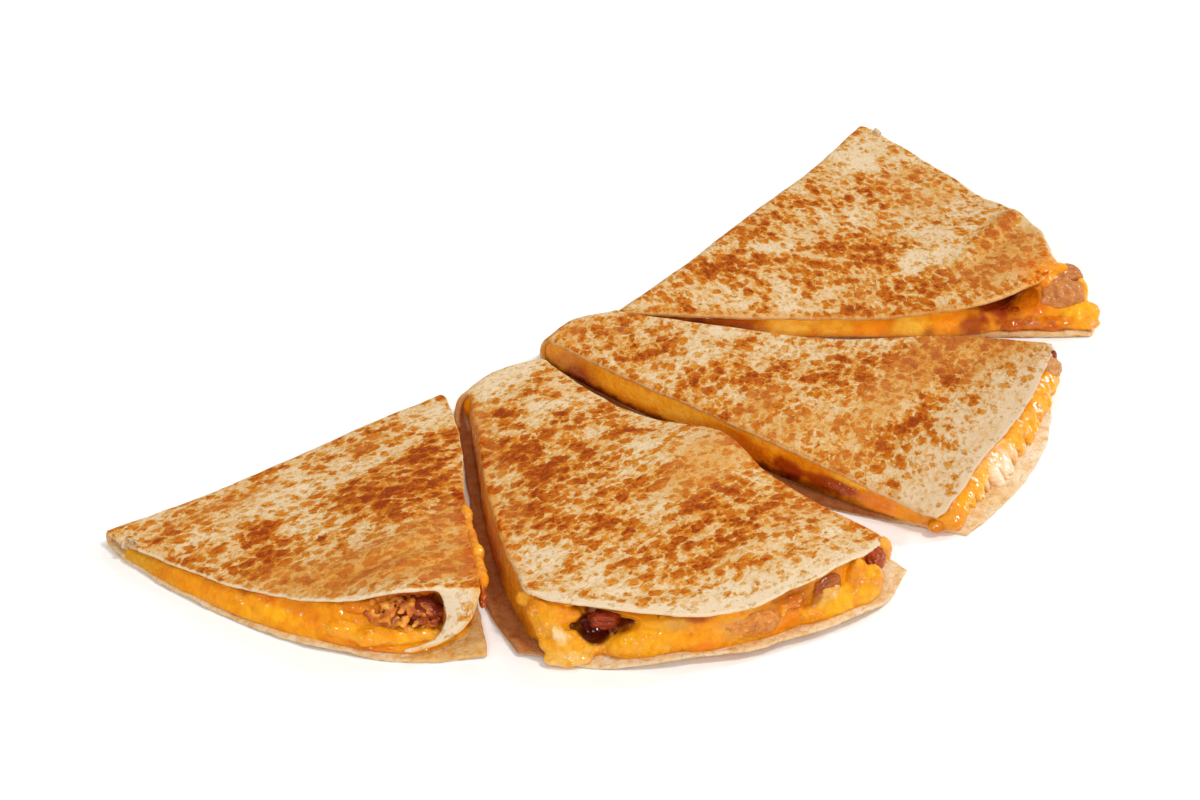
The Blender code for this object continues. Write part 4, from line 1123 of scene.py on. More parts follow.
def loop_of(number, fine):
    """The filling's outline in (s, r), with rounded corners at the rim: left, rim, right, fold."""
    wide, deep = spans(WEDGES[number]["top"])
    low_s, high_s, high_r = 0.004, 0.996, 0.992
    if number in (1, 4):
        low_s, high_s = (0.018, 0.994) if number == 1 else (0.006, 0.93)
    back = lambda s: -0.85 * fold_room(number, np.asarray(s, float)) / deep
    first_bend, second_bend = FILLING[number]["corners"]
    corner = lambda bend: np.linspace(0, math.pi / 2, max(7, int(bend * 1.57 / fine)))
    left = np.linspace(back(low_s), high_r - first_bend / deep, int(deep / fine))[:-1]
    rim = np.linspace(low_s + first_bend / wide, high_s - second_bend / wide, int(wide / fine))[1:-1]
    right = np.linspace(high_r - second_bend / deep, back(high_s), int(deep / fine))[1:]
    fold = np.linspace(high_s, low_s, int(wide / 2.5))[1:-1]
    first = [(low_s + first_bend / wide * (1 - math.cos(a)), high_r - first_bend / deep * (1 - math.sin(a)))
             for a in corner(first_bend)]
    second = [(high_s - second_bend / wide * (1 - math.sin(a)), high_r - second_bend / deep * (1 - math.cos(a)))
              for a in corner(second_bend)]
    return np.array(
        [(low_s, v) for v in left] + first + [(v, high_r) for v in rim] + second
        + [(high_s, v) for v in right] + [(v, back(v)) for v in fold]
    )


def capped(ring, number, spacing_near, spacing_far):
    """Triangles over the inside of a ring in (s, r): new points and faces, ring first."""
    wide, deep = spans(WEDGES[number]["top"])
    scale = np.array([wide, deep])
    flat = ring * scale
    low, high = flat.min(0), flat.max(0)
    extra = []
    for spacing, near, far in ((spacing_near, 0.0, 7.0), (spacing_far, 7.0, 999.0)):
        gx = np.arange(low[0] + spacing / 2, high[0], spacing)
        gy = np.arange(low[1] + spacing / 2, high[1], spacing * 0.87)
        X, Y = np.meshgrid(gx, gy)
        X = X + (np.arange(len(gy)) % 2)[:, None] * spacing / 2
        spot = np.stack([X.ravel(), Y.ravel()], -1)
        front = np.minimum(np.minimum(spot[:, 0] - low[0], high[0] - spot[:, 0]), high[1] - spot[:, 1])
        extra.append(spot[(front > near) & (front <= far)])
    cloud = np.concatenate(extra)
    # keep only points well inside the ring
    gap = np.full(len(cloud), 99.0)
    within = np.zeros(len(cloud), bool)
    for (x, y), (x2, y2) in zip(flat, np.roll(flat, -1, axis=0)):
        gap = np.minimum(gap, np.hypot(cloud[:, 0] - x, cloud[:, 1] - y))
        crosses = (y > cloud[:, 1]) != (y2 > cloud[:, 1])
        with np.errstate(divide="ignore", invalid="ignore"):
            at = (x2 - x) * (cloud[:, 1] - y) / (y2 - y) + x
        within ^= crosses & (cloud[:, 0] < at)
    cloud = cloud[(gap > spacing_near * 0.55) & within]
    both = np.concatenate([flat, cloud])
    count = len(ring)
    borders = [(k, (k + 1) % count) for k in range(count)]
    made = delaunay_2d_cdt([Vector(p) for p in both], borders, [], 1, 1e-5)
    spots_out = np.array([tuple(v) for v in made[0]])
    faces = np.array(made[2])
    source = made[3]
    order = np.array([src[0] for src in source])
    back = np.full(len(both), -1)
    back[order] = np.arange(len(order))
    # back to the input numbering, so the ring keeps its order
    faces = order[faces]
    a, b, c = (both[faces[:, k]] for k in range(3))
    turn = (b[:, 0] - a[:, 0]) * (c[:, 1] - a[:, 1]) - (b[:, 1] - a[:, 1]) * (c[:, 0] - a[:, 0])
    faces = np.where((turn > 0)[:, None], faces, faces[:, ::-1])
    return both / scale, faces[abs(turn) > 1e-9]


def outward_of(ring_points):
    """Unit directions out of a closed plan outline."""
    ahead_of = np.roll(ring_points, -1, axis=0) - np.roll(ring_points, 1, axis=0)
    normal = np.stack([ahead_of[:, 1], -ahead_of[:, 0]], -1)
    normal /= np.maximum(np.linalg.norm(normal, axis=1), 1e-9)[:, None]
    area = np.sum(ring_points[:, 0] * np.roll(ring_points[:, 1], -1)
                  - np.roll(ring_points[:, 0], -1) * ring_points[:, 1])
    return normal if area > 0 else -normal


def filling(number, material):
    fine = 0.45
    ring = loop_of(number, fine)
    fill = FILLING[number]
    count, rows = len(ring), 22
    S, R = ring[:, 0], ring[:, 1]
    middle = filling_at(number, S, R, np.full(count, 0.5))
    out = outward_of(middle[:, :2])
    # smooth the directions a little, so corners fan out
    for _ in range(6):
        out = out + 0.5 * (np.roll(out, 1, axis=0) + np.roll(out, -1, axis=0))
        out /= np.linalg.norm(out, axis=1)[:, None]
    belly, flare, lumpy = (side_mix(fill[k], S, R) for k in ("belly", "flare", "lumps"))
    hidden = ease(0.0, -0.012, R) * ((S > 0.02) & (S < 0.98))
    wall = []
    for k in range(rows + 1):
        w = k / rows
        p = filling_at(number, S, R, np.full(count, w))
        swell = belly * (4 * w * (1 - w)) ** 0.7 + flare * (1 - w) ** 3
        lump = lumpy * rough(p, (5.0, 5.0, 3.4), 700 + number, 3, 0.5)
        lump = lump + 0.3 * lumpy * np.abs(rough(p, 1.8, 720 + number, 2))
        for x, y, z, long, tall, reach in KNOBS[number]:
            flat = np.hypot(p[:, 0] - x, p[:, 1] - y) / long
            near = np.clip(1 - flat**2 - ((p[:, 2] - z) / tall) ** 2, 0, 1) ** 0.5
            mixed = lump * (1 - near) + reach * near
            lump = np.maximum(lump, mixed) if reach > 0 else np.minimum(lump, mixed)
        soft = ease(0, 0.12, w) * ease(0, 0.10, 1 - w)
        p[:, :2] += ((swell + lump * (0.3 + 0.7 * soft)) * (1 - hidden))[:, None] * out
        wall.append(p)
    wall = np.array(wall)
    if number == 3:      # the rim cheese has run down in folds
        along = np.cumsum(np.hypot(*np.diff(middle[:, :2], axis=0, prepend=middle[:1, :2]).T))
        fold = np.abs(np.sin(along / 2.7 + 1.4 * bumps(np.stack([along, 0 * along, 0 * along], -1), 6.0, 33)))
        for k in range(rows + 1):
            w = k / rows
            amount = 0.55 * ease(0.93, 0.98, R) * (4 * w * (1 - w)) ** 0.6
            wall[k, :, :2] += (amount * (fold - 0.5))[:, None] * out
            wall[k, :, 2] += amount * 0.35 * (fold - 0.5)

    points = wall.reshape(-1, 3)
    k, i = np.meshgrid(np.arange(rows), np.arange(count), indexing="ij")
    nxt = (i + 1) % count
    quads = np.stack([k * count + i, k * count + nxt, (k + 1) * count + nxt, (k + 1) * count + i], -1).reshape(-1, 4)

    # caps in (s, r): the ring's own points come first
    at_all, top_faces = capped(ring, number, 0.8, 3.5)
    new_s, new_r = at_all[count:, 0], at_all[count:, 1]
    one = np.ones(len(new_s))
    cap = filling_at(number, new_s, new_r, one)
    rest = np.concatenate([[[0, 0, 0]], cap])[1:]
    rest[:, 2] += 0.30 * rough(rest, (4.0, 4.0, 3.0), 740 + number, 3) * dip_share(number, new_s, new_r)
    first_new = len(points)
    top_ring = rows * count + np.arange(count)
    lookup = np.concatenate([top_ring, first_new + np.arange(len(new_s))])
    tris_top = lookup[top_faces]
    points = np.concatenate([points, rest])

    at_low, low_faces = capped(ring, number, 2.5, 5.0)
    low_s, low_r = at_low[count:, 0], at_low[count:, 1]
    base = filling_at(number, low_s, low_r, 0 * low_s)
    lookup = np.concatenate([np.arange(count), len(points) + np.arange(len(low_s))])
    tris_low = lookup[low_faces][:, ::-1]
    points = np.concatenate([points, base])
    tris = np.concatenate([tris_top, tris_low])

    # outward facing: the top cap must look up
    normal = face_normals(points, tris_top)
    if normal[:, 2].sum() < 0:
        tris = tris[:, ::-1]
    ring_area = np.sum(middle[:, 0] * np.roll(middle[:, 1], -1) - np.roll(middle[:, 0], -1) * middle[:, 1])
    if ring_area < 0:
        quads = quads[:, ::-1]
    tint = painted(points, CHEESE, STAINS_LIGHT_AND_SHADE[number], 800 + number)
    wet = np.zeros(len(points))
    if number == 3:
        wet = ease(-52, -58, points[:, 1] + 0.42 * points[:, 0] - 0.42 * 30) * 1.0
        wet = np.maximum(wet, ease(0.9, 0.97, np.concatenate([np.tile(R, rows + 1), new_r, low_r])))
    return mesh_object(f"wedge{number}_cheese_melt", points, quads, tris, material, dict(tint=tint, wet=wet))


def dip_share(number, s, r):
    """Where the filling has sunk away from the sheet and its top shows."""
    total = 0 * s
    for at_s, at_r, wide_s, wide_r, depth in FILLING[number]["dips"]:
        total = total + depth / 4 * np.exp(-(((s - at_s) / wide_s) ** 2) - ((r - at_r) / wide_r) ** 2)
    return np.clip(total, 0, 1)


def painted(points, base, stains_light_and_shade, seed):
    """Colour at each point: the base, mottled, with soft uneven patches laid over it: sauce, fat and browning,
    painted shade and painted light.
    """
    tint = np.tile(np.array(base, float), (len(points), 1))
    tone = rough(points, 5.0, seed, 3)
    tint *= (1 + 0.10 * tone)[:, None]
    wobble = 0.45 * rough(points, 3.0, seed + 5, 3)
    for x, y, z, rx, ry, rz, colour, amount in stains_light_and_shade:
        far = np.linalg.norm((points - np.array([x, y, z])) / np.array([rx, ry, rz]), axis=1) + wobble
        weight = (amount * ease(1.25, 0.45, far))[:, None]
        tint = tint * (1 - weight) + weight * np.array(colour)
    return tint


# ---------------------------------------------------------------------------------------------
# chicken, crumbs and drips
# ---------------------------------------------------------------------------------------------
def ball(level):
    """Points and triangles of a unit ball, subdivided level times."""
    g = (1 + 5**0.5) / 2
    points = [(-1, g, 0), (1, g, 0), (-1, -g, 0), (1, -g, 0), (0, -1, g), (0, 1, g),
              (0, -1, -g), (0, 1, -g), (g, 0, -1), (g, 0, 1), (-g, 0, -1), (-g, 0, 1)]
    faces = np.array([(0, 11, 5), (0, 5, 1), (0, 1, 7), (0, 7, 10), (0, 10, 11), (1, 5, 9), (5, 11, 4),
                      (11, 10, 2), (10, 7, 6), (7, 1, 8), (3, 9, 4), (3, 4, 2), (3, 2, 6), (3, 6, 8),
                      (3, 8, 9), (4, 9, 5), (2, 4, 11), (6, 2, 10), (8, 6, 7), (9, 8, 1)])
    points = np.array(points, float)
    points /= np.linalg.norm(points, axis=1)[:, None]
    for _ in range(level):
        edges = np.sort(np.concatenate([faces[:, [0, 1]], faces[:, [1, 2]], faces[:, [2, 0]]]), axis=1)
        unique, back = np.unique(edges, axis=0, return_inverse=True)
        back = back.reshape(-1)
        halfway = points[unique].mean(axis=1)
        halfway /= np.linalg.norm(halfway, axis=1)[:, None]
        a, b, c = np.split(back + len(points), 3)
        points = np.concatenate([points, halfway])
        faces = np.concatenate([
            np.stack([faces[:, 0], a, c], -1), np.stack([faces[:, 1], b, a], -1),
            np.stack([faces[:, 2], c, b], -1), np.stack([a, b, c], -1),
        ])
    return points, faces


def turned(points, degrees):
    c, s = math.cos(math.radians(degrees)), math.sin(math.radians(degrees))
    return points @ np.array([[c, s, 0], [-s, c, 0], [0, 0, 1]])


def meat(name, centre, half, turn, seed, material, base, stains_light_and_shade=(), level=5, fibre=0.35):
    """A torn piece of chicken: blocky, with fibres along its length."""
    unit, faces = ball(level)
    blocky = np.max(np.abs(unit), axis=1) ** -0.27
    body = unit * np.array(half) * blocky[:, None]
    body *= (1 + 0.14 * bumps(unit * 1.7 + seed, 1.0, seed))[:, None]
    lines = rough(body, (6.0, 0.9, 0.9), seed + 1, 2)
    grainy = rough(body, 1.1, seed + 2, 3)
    body += unit * (fibre * lines + 0.22 * grainy - 0.15)[:, None]
    points = turned(body, turn) + np.array(centre)
    tint = painted(points, base, stains_light_and_shade, seed + 9)
    tint *= (1 + 0.13 * lines + 0.14 * grainy)[:, None]
    return mesh_object(name, points, (), faces, material, dict(tint=np.clip(tint, 0.002, 1)))


def into(points, centre, turn, tilt):
    """Points seen from a lump's own axes: turned about Z, then its far end tipped down by tilt."""
    local = turned(points - np.array(centre), -turn)
    c, s = math.cos(math.radians(tilt)), math.sin(math.radians(tilt))
    return np.stack([c * local[..., 0] - s * local[..., 2], local[..., 1],
                     s * local[..., 0] + c * local[..., 2]], -1)


def egg(points, centre, half, turn, tilt):
    """Distance in mm to an ellipsoid, negative inside (close to true near its skin)."""
    local = into(points, centre, turn, tilt)
    half = np.array(half, float)
    k0 = np.linalg.norm(local / half, axis=-1)
    k1 = np.linalg.norm(local / half**2, axis=-1)
    return np.where(k0 < 1e-3, -half.min(), k0 * (k0 - 1) / np.maximum(k1, 1e-6))


def skin(field, start, step):
    """Points and quads of the surface where a field on a grid crosses zero (surface nets)."""
    shape = np.array(field.shape) - 1
    total, count = np.zeros((*shape, 3)), np.zeros(shape)
    found = []
    for axis in range(3):
        low, high = [slice(None)] * 3, [slice(None)] * 3
        low[axis], high[axis] = slice(None, -1), slice(1, None)
        f0, f1 = field[tuple(low)], field[tuple(high)]
        at = np.argwhere((f0 < 0) != (f1 < 0))
        g0, g1 = f0[tuple(at.T)], f1[tuple(at.T)]
        place = at.astype(float)
        place[:, axis] += g0 / (g0 - g1)
        u, v = [k for k in range(3) if k != axis]
        inner = (at[:, u] > 0) & (at[:, v] > 0) & (at[:, u] < shape[u]) & (at[:, v] < shape[v])
        at, place, g0 = at[inner], place[inner], g0[inner]
        cells = []
        for du, dv in ((1, 1), (0, 1), (0, 0), (1, 0)):
            cell = at.copy()
            cell[:, u] -= du
            cell[:, v] -= dv
            np.add.at(total, tuple(cell.T), place)
            np.add.at(count, tuple(cell.T), 1)
            cells.append(cell)
        found.append((cells, (g0 < 0) ^ (axis == 1)))
    number = np.full(shape, -1)
    number[count > 0] = np.arange(int((count > 0).sum()))
    points = total[count > 0] / count[count > 0][:, None] * step + start
    quads = []
    for cells, forward in found:
        quad = np.stack([number[tuple(cell.T)] for cell in cells], -1)
        quads.append(np.where(forward[:, None], quad, quad[:, ::-1]))
    return points, np.concatenate(quads)


def mass(name, parts, cuts, material, seed, step=0.42, soft=1.2, gnarl=(0.26, 3.2, 0.10, 1.2),
         base=None, stains_light_and_shade=(), low=0.25, wet=0.3):
    """Lumps melted into one body: parts (centre, half, turn, tilt, colour, second colour), cuts alike, each cut's
    walls painted its colour as shade.
    """
    centres = np.array([part[0] for part in parts])
    reach = np.array([max(part[1]) for part in parts])[:, None]
    start = (centres - reach).min(0) - 1.6
    stop = (centres + reach).max(0) + 1.6
    axes = [np.arange(a, b, step) for a, b in zip(start, stop)]
    field = np.full([len(v) for v in axes], 6.0)

    def window(centre, room):
        lows = [max(int((c - room - v[0]) / step), 0) for c, v in zip(centre, axes)]
        highs = [min(int((c + room - v[0]) / step) + 2, len(v)) for c, v in zip(centre, axes)]
        cut = tuple(slice(a, b) for a, b in zip(lows, highs))
        grid = np.stack(np.meshgrid(*[v[c] for v, c in zip(axes, cut)], indexing="ij"), -1)
        return cut, grid

    for part in parts:
        cut, grid = window(part[0], max(part[1]) + 2.5)
        d, old = egg(grid, *part[:4]), field[cut]
        h = np.clip(0.5 + 0.5 * (old - d) / soft, 0, 1)
        field[cut] = old * (1 - h) + d * h - soft * h * (1 - h)
    for part in cuts:
        cut, grid = window(part[0], max(part[1]) + 2.5)
        d, old = -egg(grid, *part[:4]), field[cut]
        h = np.clip(0.5 - 0.5 * (old - d) / (0.6 * soft), 0, 1)
        field[cut] = old * (1 - h) + d * h + 0.6 * soft * h * (1 - h)
    near = np.argwhere(np.abs(field) < 1.6)
    spot = np.stack([axes[k][near[:, k]] for k in range(3)], -1)
    push = gnarl[0] * rough(spot, gnarl[1], seed, 3) + gnarl[2] * rough(spot, gnarl[3], seed + 9, 2)
    field[tuple(near.T)] -= push
    floor_at = low - np.meshgrid(*axes, indexing="ij")[2]
    field = np.maximum(field, floor_at)
    for axis in range(3):      # nothing may touch the grid's border
        edge = [slice(None)] * 3
        for end in (0, -1):
            edge[axis] = end
            field[tuple(edge)] = 3.0
    points, quads = skin(field, start, step)
    points = relaxed(points, quads, np.full(len(points), 0.8), 2)

    weights, tints = [], []
    own = painted(points, base if base is not None else parts[0][4], stains_light_and_shade, seed + 21)
    for k, part in enumerate(parts):
        d = egg(points, *part[:4])
        weights.append(np.exp(-np.clip(d + 0.3 * rough(points, 2.2, seed + 40 + k, 2), -1.5, 8) / 0.35))
        if part[4] is None:
            tints.append(own)
            continue
        share = ease(-0.3, 0.35, rough(points, (2.6, 2.6, 1.8), seed + 80 + k, 3))[:, None]
        tints.append(np.array(part[4]) * (1 - share) + np.array(part[5]) * share)
    weights = np.array(weights)[..., None]
    tint = (weights * np.array(tints)).sum(0) / weights.sum(0)
    # painted shade: the walls of each carved hollow or crease take its colour
    for part in cuts:
        deep = ease(1.3, 0.1, np.abs(egg(points, *part[:4])))[:, None] * 0.95
        tint = tint * (1 - deep) + np.array(part[4]) * deep
    tint = tint * (1 + 0.10 * rough(points, 1.6, seed + 7, 2))[:, None]
    return mesh_object(name, points, quads, (), material,
                       dict(tint=np.clip(tint, 0.002, 1.0), wet=np.full(len(points), wet)))


def along_rim(number, first, last, spacing, inward, half, lift=0.0, vary=0.0):
    """A chain of plain lumps just inside a wedge's rim, from s = first to last."""
    wedge, dice = WEDGES[number], np.random.RandomState(70 + number)
    wide, _ = spans(wedge["top"])
    made = []
    for s in np.arange(first, last, spacing / wide):
        one = lambda r: layer_at(wedge["top"], np.array([s]), np.array([r]), wedge["crown"])[0]
        here = one(1.0)
        back = one(0.97) - here
        back[2] = 0
        back /= np.linalg.norm(back)
        ahead_of = layer_at(wedge["top"], np.array([s + 0.01]), np.array([1.0]), wedge["crown"])[0] - here
        turn = math.degrees(math.atan2(ahead_of[1], ahead_of[0]))
        tall = max((here[2] - 1.3 - 1.25) / 2, 1.0)
        own = dice.uniform(-vary, vary, 3)
        centre = here + back * (inward + own[0])
        made.append(((centre[0], centre[1], 1.25 + tall + lift), (half[0] * (1 + 0.2 * own[1]), half[1],
                     tall * half[2] * (1 + 0.15 * own[2])), turn, 0, None, None))
    return made


# ---------------------------------------------------------------------------------------------
# build
# ---------------------------------------------------------------------------------------------
cheese, chicken = cheese_material(), meat_material()
ribbed = cheese_material("cheese_ribs", -68)
pieces = []


def keep(piece, slot, *nodes):
    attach(piece, "root")
    if nodes:
        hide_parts(*nodes)
    pieces.append(piece)
    return piece


for number in WEDGES:
    keep(sheet(number, tortilla_material(number)), "tortilla", f"wedge{number}_tortilla")
    keep(filling(number, cheese), "cheese", f"wedge{number}_cheese")

MEAT = {
    "wedge1_chicken_a": (linear(124, 40, 14), 0.3),
    "wedge2_chicken_a": (linear(150, 56, 26), 0.1),
    "wedge2_chicken_b": (linear(160, 84, 36), 0.3),
    "wedge2_chicken_c": (linear(166, 70, 30), 0.25),
    "wedge2_chicken_d": (linear(206, 132, 56), 0.25),
    "wedge3_chicken_a": (linear(184, 78, 26), 0.10),
    "wedge3_chicken_b": (linear(204, 150, 96), 0.2),
    "wedge4_chicken_a": (linear(186, 118, 64), 0.2),
    "wedge4_chicken_b": (linear(198, 130, 70), 0.15),
}
for node, (centre, half, turn, seed) in CHICKEN.items():
    base, fibre = MEAT[node]
    keep(meat(node + "_torn", centre, half, turn, seed, chicken, base, (), 4, fibre), "chicken", node)

PALE_CHEESE, GOLD_CHEESE = linear(240, 206, 150), linear(230, 170, 70)
RIND = linear(236, 216, 184)
LUMPS = {
    1: (
        # runs of cheese past the cut edge
        ((-84.7, 8.0, 11.2), (3.6, 1.5, 1.6), 50, 0, linear(227, 143, 33), linear(232, 160, 50)),
        ((-88.4, 3.8, 11.3), (3.2, 1.2, 1.6), 50, 0, linear(222, 130, 33), linear(230, 150, 44)),
        ((-92.0, -1.2, 11.3), (3.8, 1.4, 1.8), 50, 0, linear(222, 126, 32), linear(230, 150, 44)),
        ((-95.4, -5.8, 11.5), (3.4, 1.7, 2.0), 50, 0, linear(227, 140, 33), linear(234, 160, 50)),
        ((-99.2, -10.6, 11.7), (3.8, 1.4, 1.9), 50, 0, linear(222, 130, 33), linear(230, 150, 44)),
        ((-102.6, -14.6, 11.9), (3.2, 1.6, 2.1), 50, 0, linear(222, 128, 34), linear(230, 150, 44)),
        ((-105.8, -18.0, 10.0), (1.8, 0.9, 2.8), 50, 0, linear(172, 72, 26), linear(200, 100, 34)),
        # the wet cheese in front of the open mouth
        ((-121.8, -9.4, 3.4), (6.4, 2.8, 2.2), -40, -4, linear(236, 160, 26), linear(238, 172, 44)),
        ((-126.8, -4.6, 3.7), (5.4, 3.0, 2.4), -40, 0, linear(229, 144, 30), linear(232, 158, 40)),
        ((-116.4, -13.4, 2.7), (4.6, 2.6, 1.6), -40, 0, linear(214, 146, 52), linear(224, 166, 74)),
        ((-130.2, 1.8, 4.0), (4.6, 2.6, 2.8), -56, 0, linear(233, 150, 30), linear(236, 162, 36)),
        ((-124.4, -0.4, 8.6), (6.6, 2.6, 1.8), -40, 6, linear(222, 136, 40), linear(216, 124, 36)),
        ((-119.0, -2.8, 10.8), (5.0, 2.2, 1.5), -40, 0, linear(220, 134, 40), linear(214, 110, 32)),
        ((-112.8, -7.6, 11.6), (5.0, 2.2, 1.6), -35, -14, linear(218, 124, 36), linear(214, 96, 28)),
        ((-112.4, -13.8, 6.0), (1.8, 1.6, 3.4), -40, 0, linear(196, 104, 36), linear(214, 140, 60)),
        ((-110.8, -10.8, 8.6), (1.5, 1.5, 3.2), -40, 0, linear(176, 84, 40), linear(140, 46, 18)),
        ((-111.0, -9.4, 12.0), (2.0, 1.8, 1.8), -40, 0, linear(232, 150, 50), linear(226, 130, 40)),
    ),
    2: (
        ((-98.6, -27.4, 10.2), (4.6, 2.0, 2.4), -60, 0, linear(230, 160, 48), linear(226, 146, 40)),
        ((-100.2, -31.2, 9.4), (3.4, 2.4, 3.0), -60, 0, linear(228, 152, 44), linear(224, 133, 31)),
        ((-97.6, -35.2, 9.8), (5.0, 2.0, 2.2), -50, 12, linear(234, 155, 39), linear(224, 133, 31)),
        ((-100.4, -34.4, 7.0), (4.0, 2.6, 4.4), -54, 0, linear(232, 156, 40), linear(229, 160, 50)),
        ((-101.4, -39.0, 6.4), (4.0, 1.0, 1.2), -47, 50, linear(240, 212, 172), linear(240, 196, 120)),
        ((-99.8, -38.8, 3.8), (6.4, 3.0, 3.5), -47, 4, linear(229, 152, 34), linear(232, 166, 60)),
        ((-101.6, -40.6, 1.8), (5.6, 2.4, 1.8), -47, 0, linear(230, 184, 120), linear(229, 170, 84)),
        ((-87.0, -51.6, 4.0), (9.8, 3.8, 4.0), -41, -5, linear(228, 150, 28), linear(232, 166, 38)),
        ((-93.6, -43.6, 2.5), (4.6, 2.6, 1.8), -46, 0, linear(224, 146, 30), linear(226, 156, 40)),
        ((-85.6, -47.2, 9.4), (3.4, 1.6, 1.2), -44, -6, linear(140, 48, 22), linear(128, 40, 20)),
        ((-80.6, -54.6, 7.2), (4.4, 2.2, 2.6), -38, 0, linear(213, 137, 53), linear(206, 122, 40)),
        ((-76.6, -58.0, 5.2), (5.8, 2.6, 4.2), -33, 0, linear(226, 137, 29), linear(222, 116, 27)),
        ((-78.4, -58.4, 9.4), (2.2, 1.6, 1.2), -33, 0, linear(214, 78, 24), linear(222, 106, 28)),
        ((-72.4, -60.8, 4.0), (7.0, 2.6, 3.0), -30, 0, linear(219, 134, 34), linear(224, 146, 50)),
        ((-60.6, -65.4, 8.8), (6.8, 2.4, 2.6), -24, 4, linear(207, 132, 47), linear(196, 110, 38)),
        ((-60.0, -66.0, 4.2), (8.4, 2.6, 3.1), -20, 0, linear(218, 143, 52), linear(220, 129, 31)),
        ((-78.8, -58.8, 7.0), (1.5, 1.5, 2.8), -33, 20, linear(230, 146, 34), linear(232, 160, 50)),
        ((-74.6, -61.2, 8.4), (2.8, 1.5, 1.3), -33, -16, linear(222, 122, 32), linear(214, 106, 34)),
        ((-65.0, -66.6, 8.9), (2.4, 1.5, 1.5), -22, 12, linear(216, 134, 50), linear(226, 150, 60)),
        ((-61.6, -68.8, 6.6), (1.5, 1.3, 3.0), -22, 16, linear(214, 128, 44), linear(222, 150, 64)),
        ((-57.4, -69.6, 8.2), (3.0, 1.5, 1.6), -18, -14, linear(206, 114, 40), linear(218, 134, 46)),
        ((-54.0, -70.8, 5.4), (3.2, 1.6, 1.6), -16, 10, linear(226, 140, 30), linear(230, 156, 40)),
        ((-82.8, -55.4, 3.2), (3.4, 1.8, 1.5), -40, 0, linear(226, 158, 54), linear(216, 140, 50)),
        ((-49.4, -71.8, 7.8), (4.4, 1.1, 2.1), -12, -18, linear(226, 186, 134), linear(224, 172, 108)),
        ((-46.4, -71.2, 4.4), (9.4, 2.6, 3.1), -8, 2, linear(228, 160, 31), linear(230, 166, 40)),
        ((-38.6, -72.2, 7.6), (3.0, 2.2, 4.6), 0, 0, linear(226, 150, 30), linear(217, 132, 28)),
        ((-34.2, -73.0, 5.0), (3.6, 2.4, 3.8), 0, 0, linear(227, 158, 34), linear(220, 140, 32)),
        ((-27.4, -70.4, 8.4), (2.8, 2.4, 3.4), 20, 0, linear(217, 140, 60), linear(226, 160, 70)),
        ((-53.0, -70.8, 3.0), (5.0, 2.2, 2.2), -26, 0, linear(224, 140, 34), linear(228, 152, 40)),
        ((-46.6, -73.0, 3.4), (6.2, 2.5, 2.5), -18, 0, linear(229, 158, 30), linear(230, 166, 40)),
        ((-39.4, -74.6, 3.4), (4.8, 2.2, 2.6), -14, 0, linear(226, 156, 30), linear(228, 164, 36)),
        ((-35.2, -74.2, 5.8), (2.8, 2.0, 3.8), -6, 0, linear(230, 164, 50), linear(220, 140, 32)),
    ),
    3: (
        ((70.0, -45.6, 8.8), (1.5, 1.0, 1.8), 30, 0, linear(120, 40, 18), linear(146, 60, 26)),
        ((63.0, -46.8, 3.4), (5.0, 2.2, 2.4), -30, 0, linear(228, 150, 44), linear(236, 180, 80)),
        ((-0.4, -66.6, 2.5), (4.6, 2.6, 1.7), 10, 0, linear(214, 138, 26), linear(202, 120, 22)),
    ),
    4: (
        ((97.2, -21.8, 10.8), (4.4, 2.4, 1.6), -38, 8, linear(236, 158, 40), linear(240, 186, 80)),
        ((99.4, -31.4, 3.8), (5.8, 3.4, 3.0), -46, 0, linear(239, 164, 36), linear(240, 180, 50)),
        ((97.6, -34.0, 2.6), (4.8, 2.8, 1.7), -46, 0, linear(239, 164, 36), linear(236, 150, 36)),
        ((91.6, -28.6, 2.6), (6.4, 2.6, 1.8), -46, 0, linear(216, 126, 20), linear(192, 96, 16)),
        ((85.0, -21.6, 2.6), (7.4, 2.4, 1.8), -46, 0, linear(200, 108, 22), linear(176, 84, 14)),
        ((93.2, -25.2, 3.6), (5.0, 2.6, 2.4), -40, 0, linear(222, 122, 28), linear(232, 146, 38)),
        ((87.4, -19.2, 3.4), (4.6, 2.4, 2.2), -42, 0, linear(166, 58, 12), linear(196, 90, 18)),
        ((101.0, -22.0, 12.6), (3.6, 2.4, 1.3), -44, 0, linear(232, 138, 34), linear(238, 166, 50)),
        ((98.6, -20.6, 12.9), (2.4, 2.0, 1.0), -44, 0, linear(232, 138, 34), linear(236, 150, 40)),
        ((103.8, -28.6, 6.4), (2.0, 2.8, 4.4), -40, 0, linear(238, 164, 40), linear(242, 184, 70)),
        ((96.0, -22.2, 9.6), (2.6, 2.0, 2.6), -42, 0, linear(232, 136, 34), linear(236, 156, 44)),
        ((103.6, -23.0, 7.4), (5.0, 3.0, 2.6), -42, 0, linear(214, 130, 60), linear(226, 160, 90)),
    ),
}
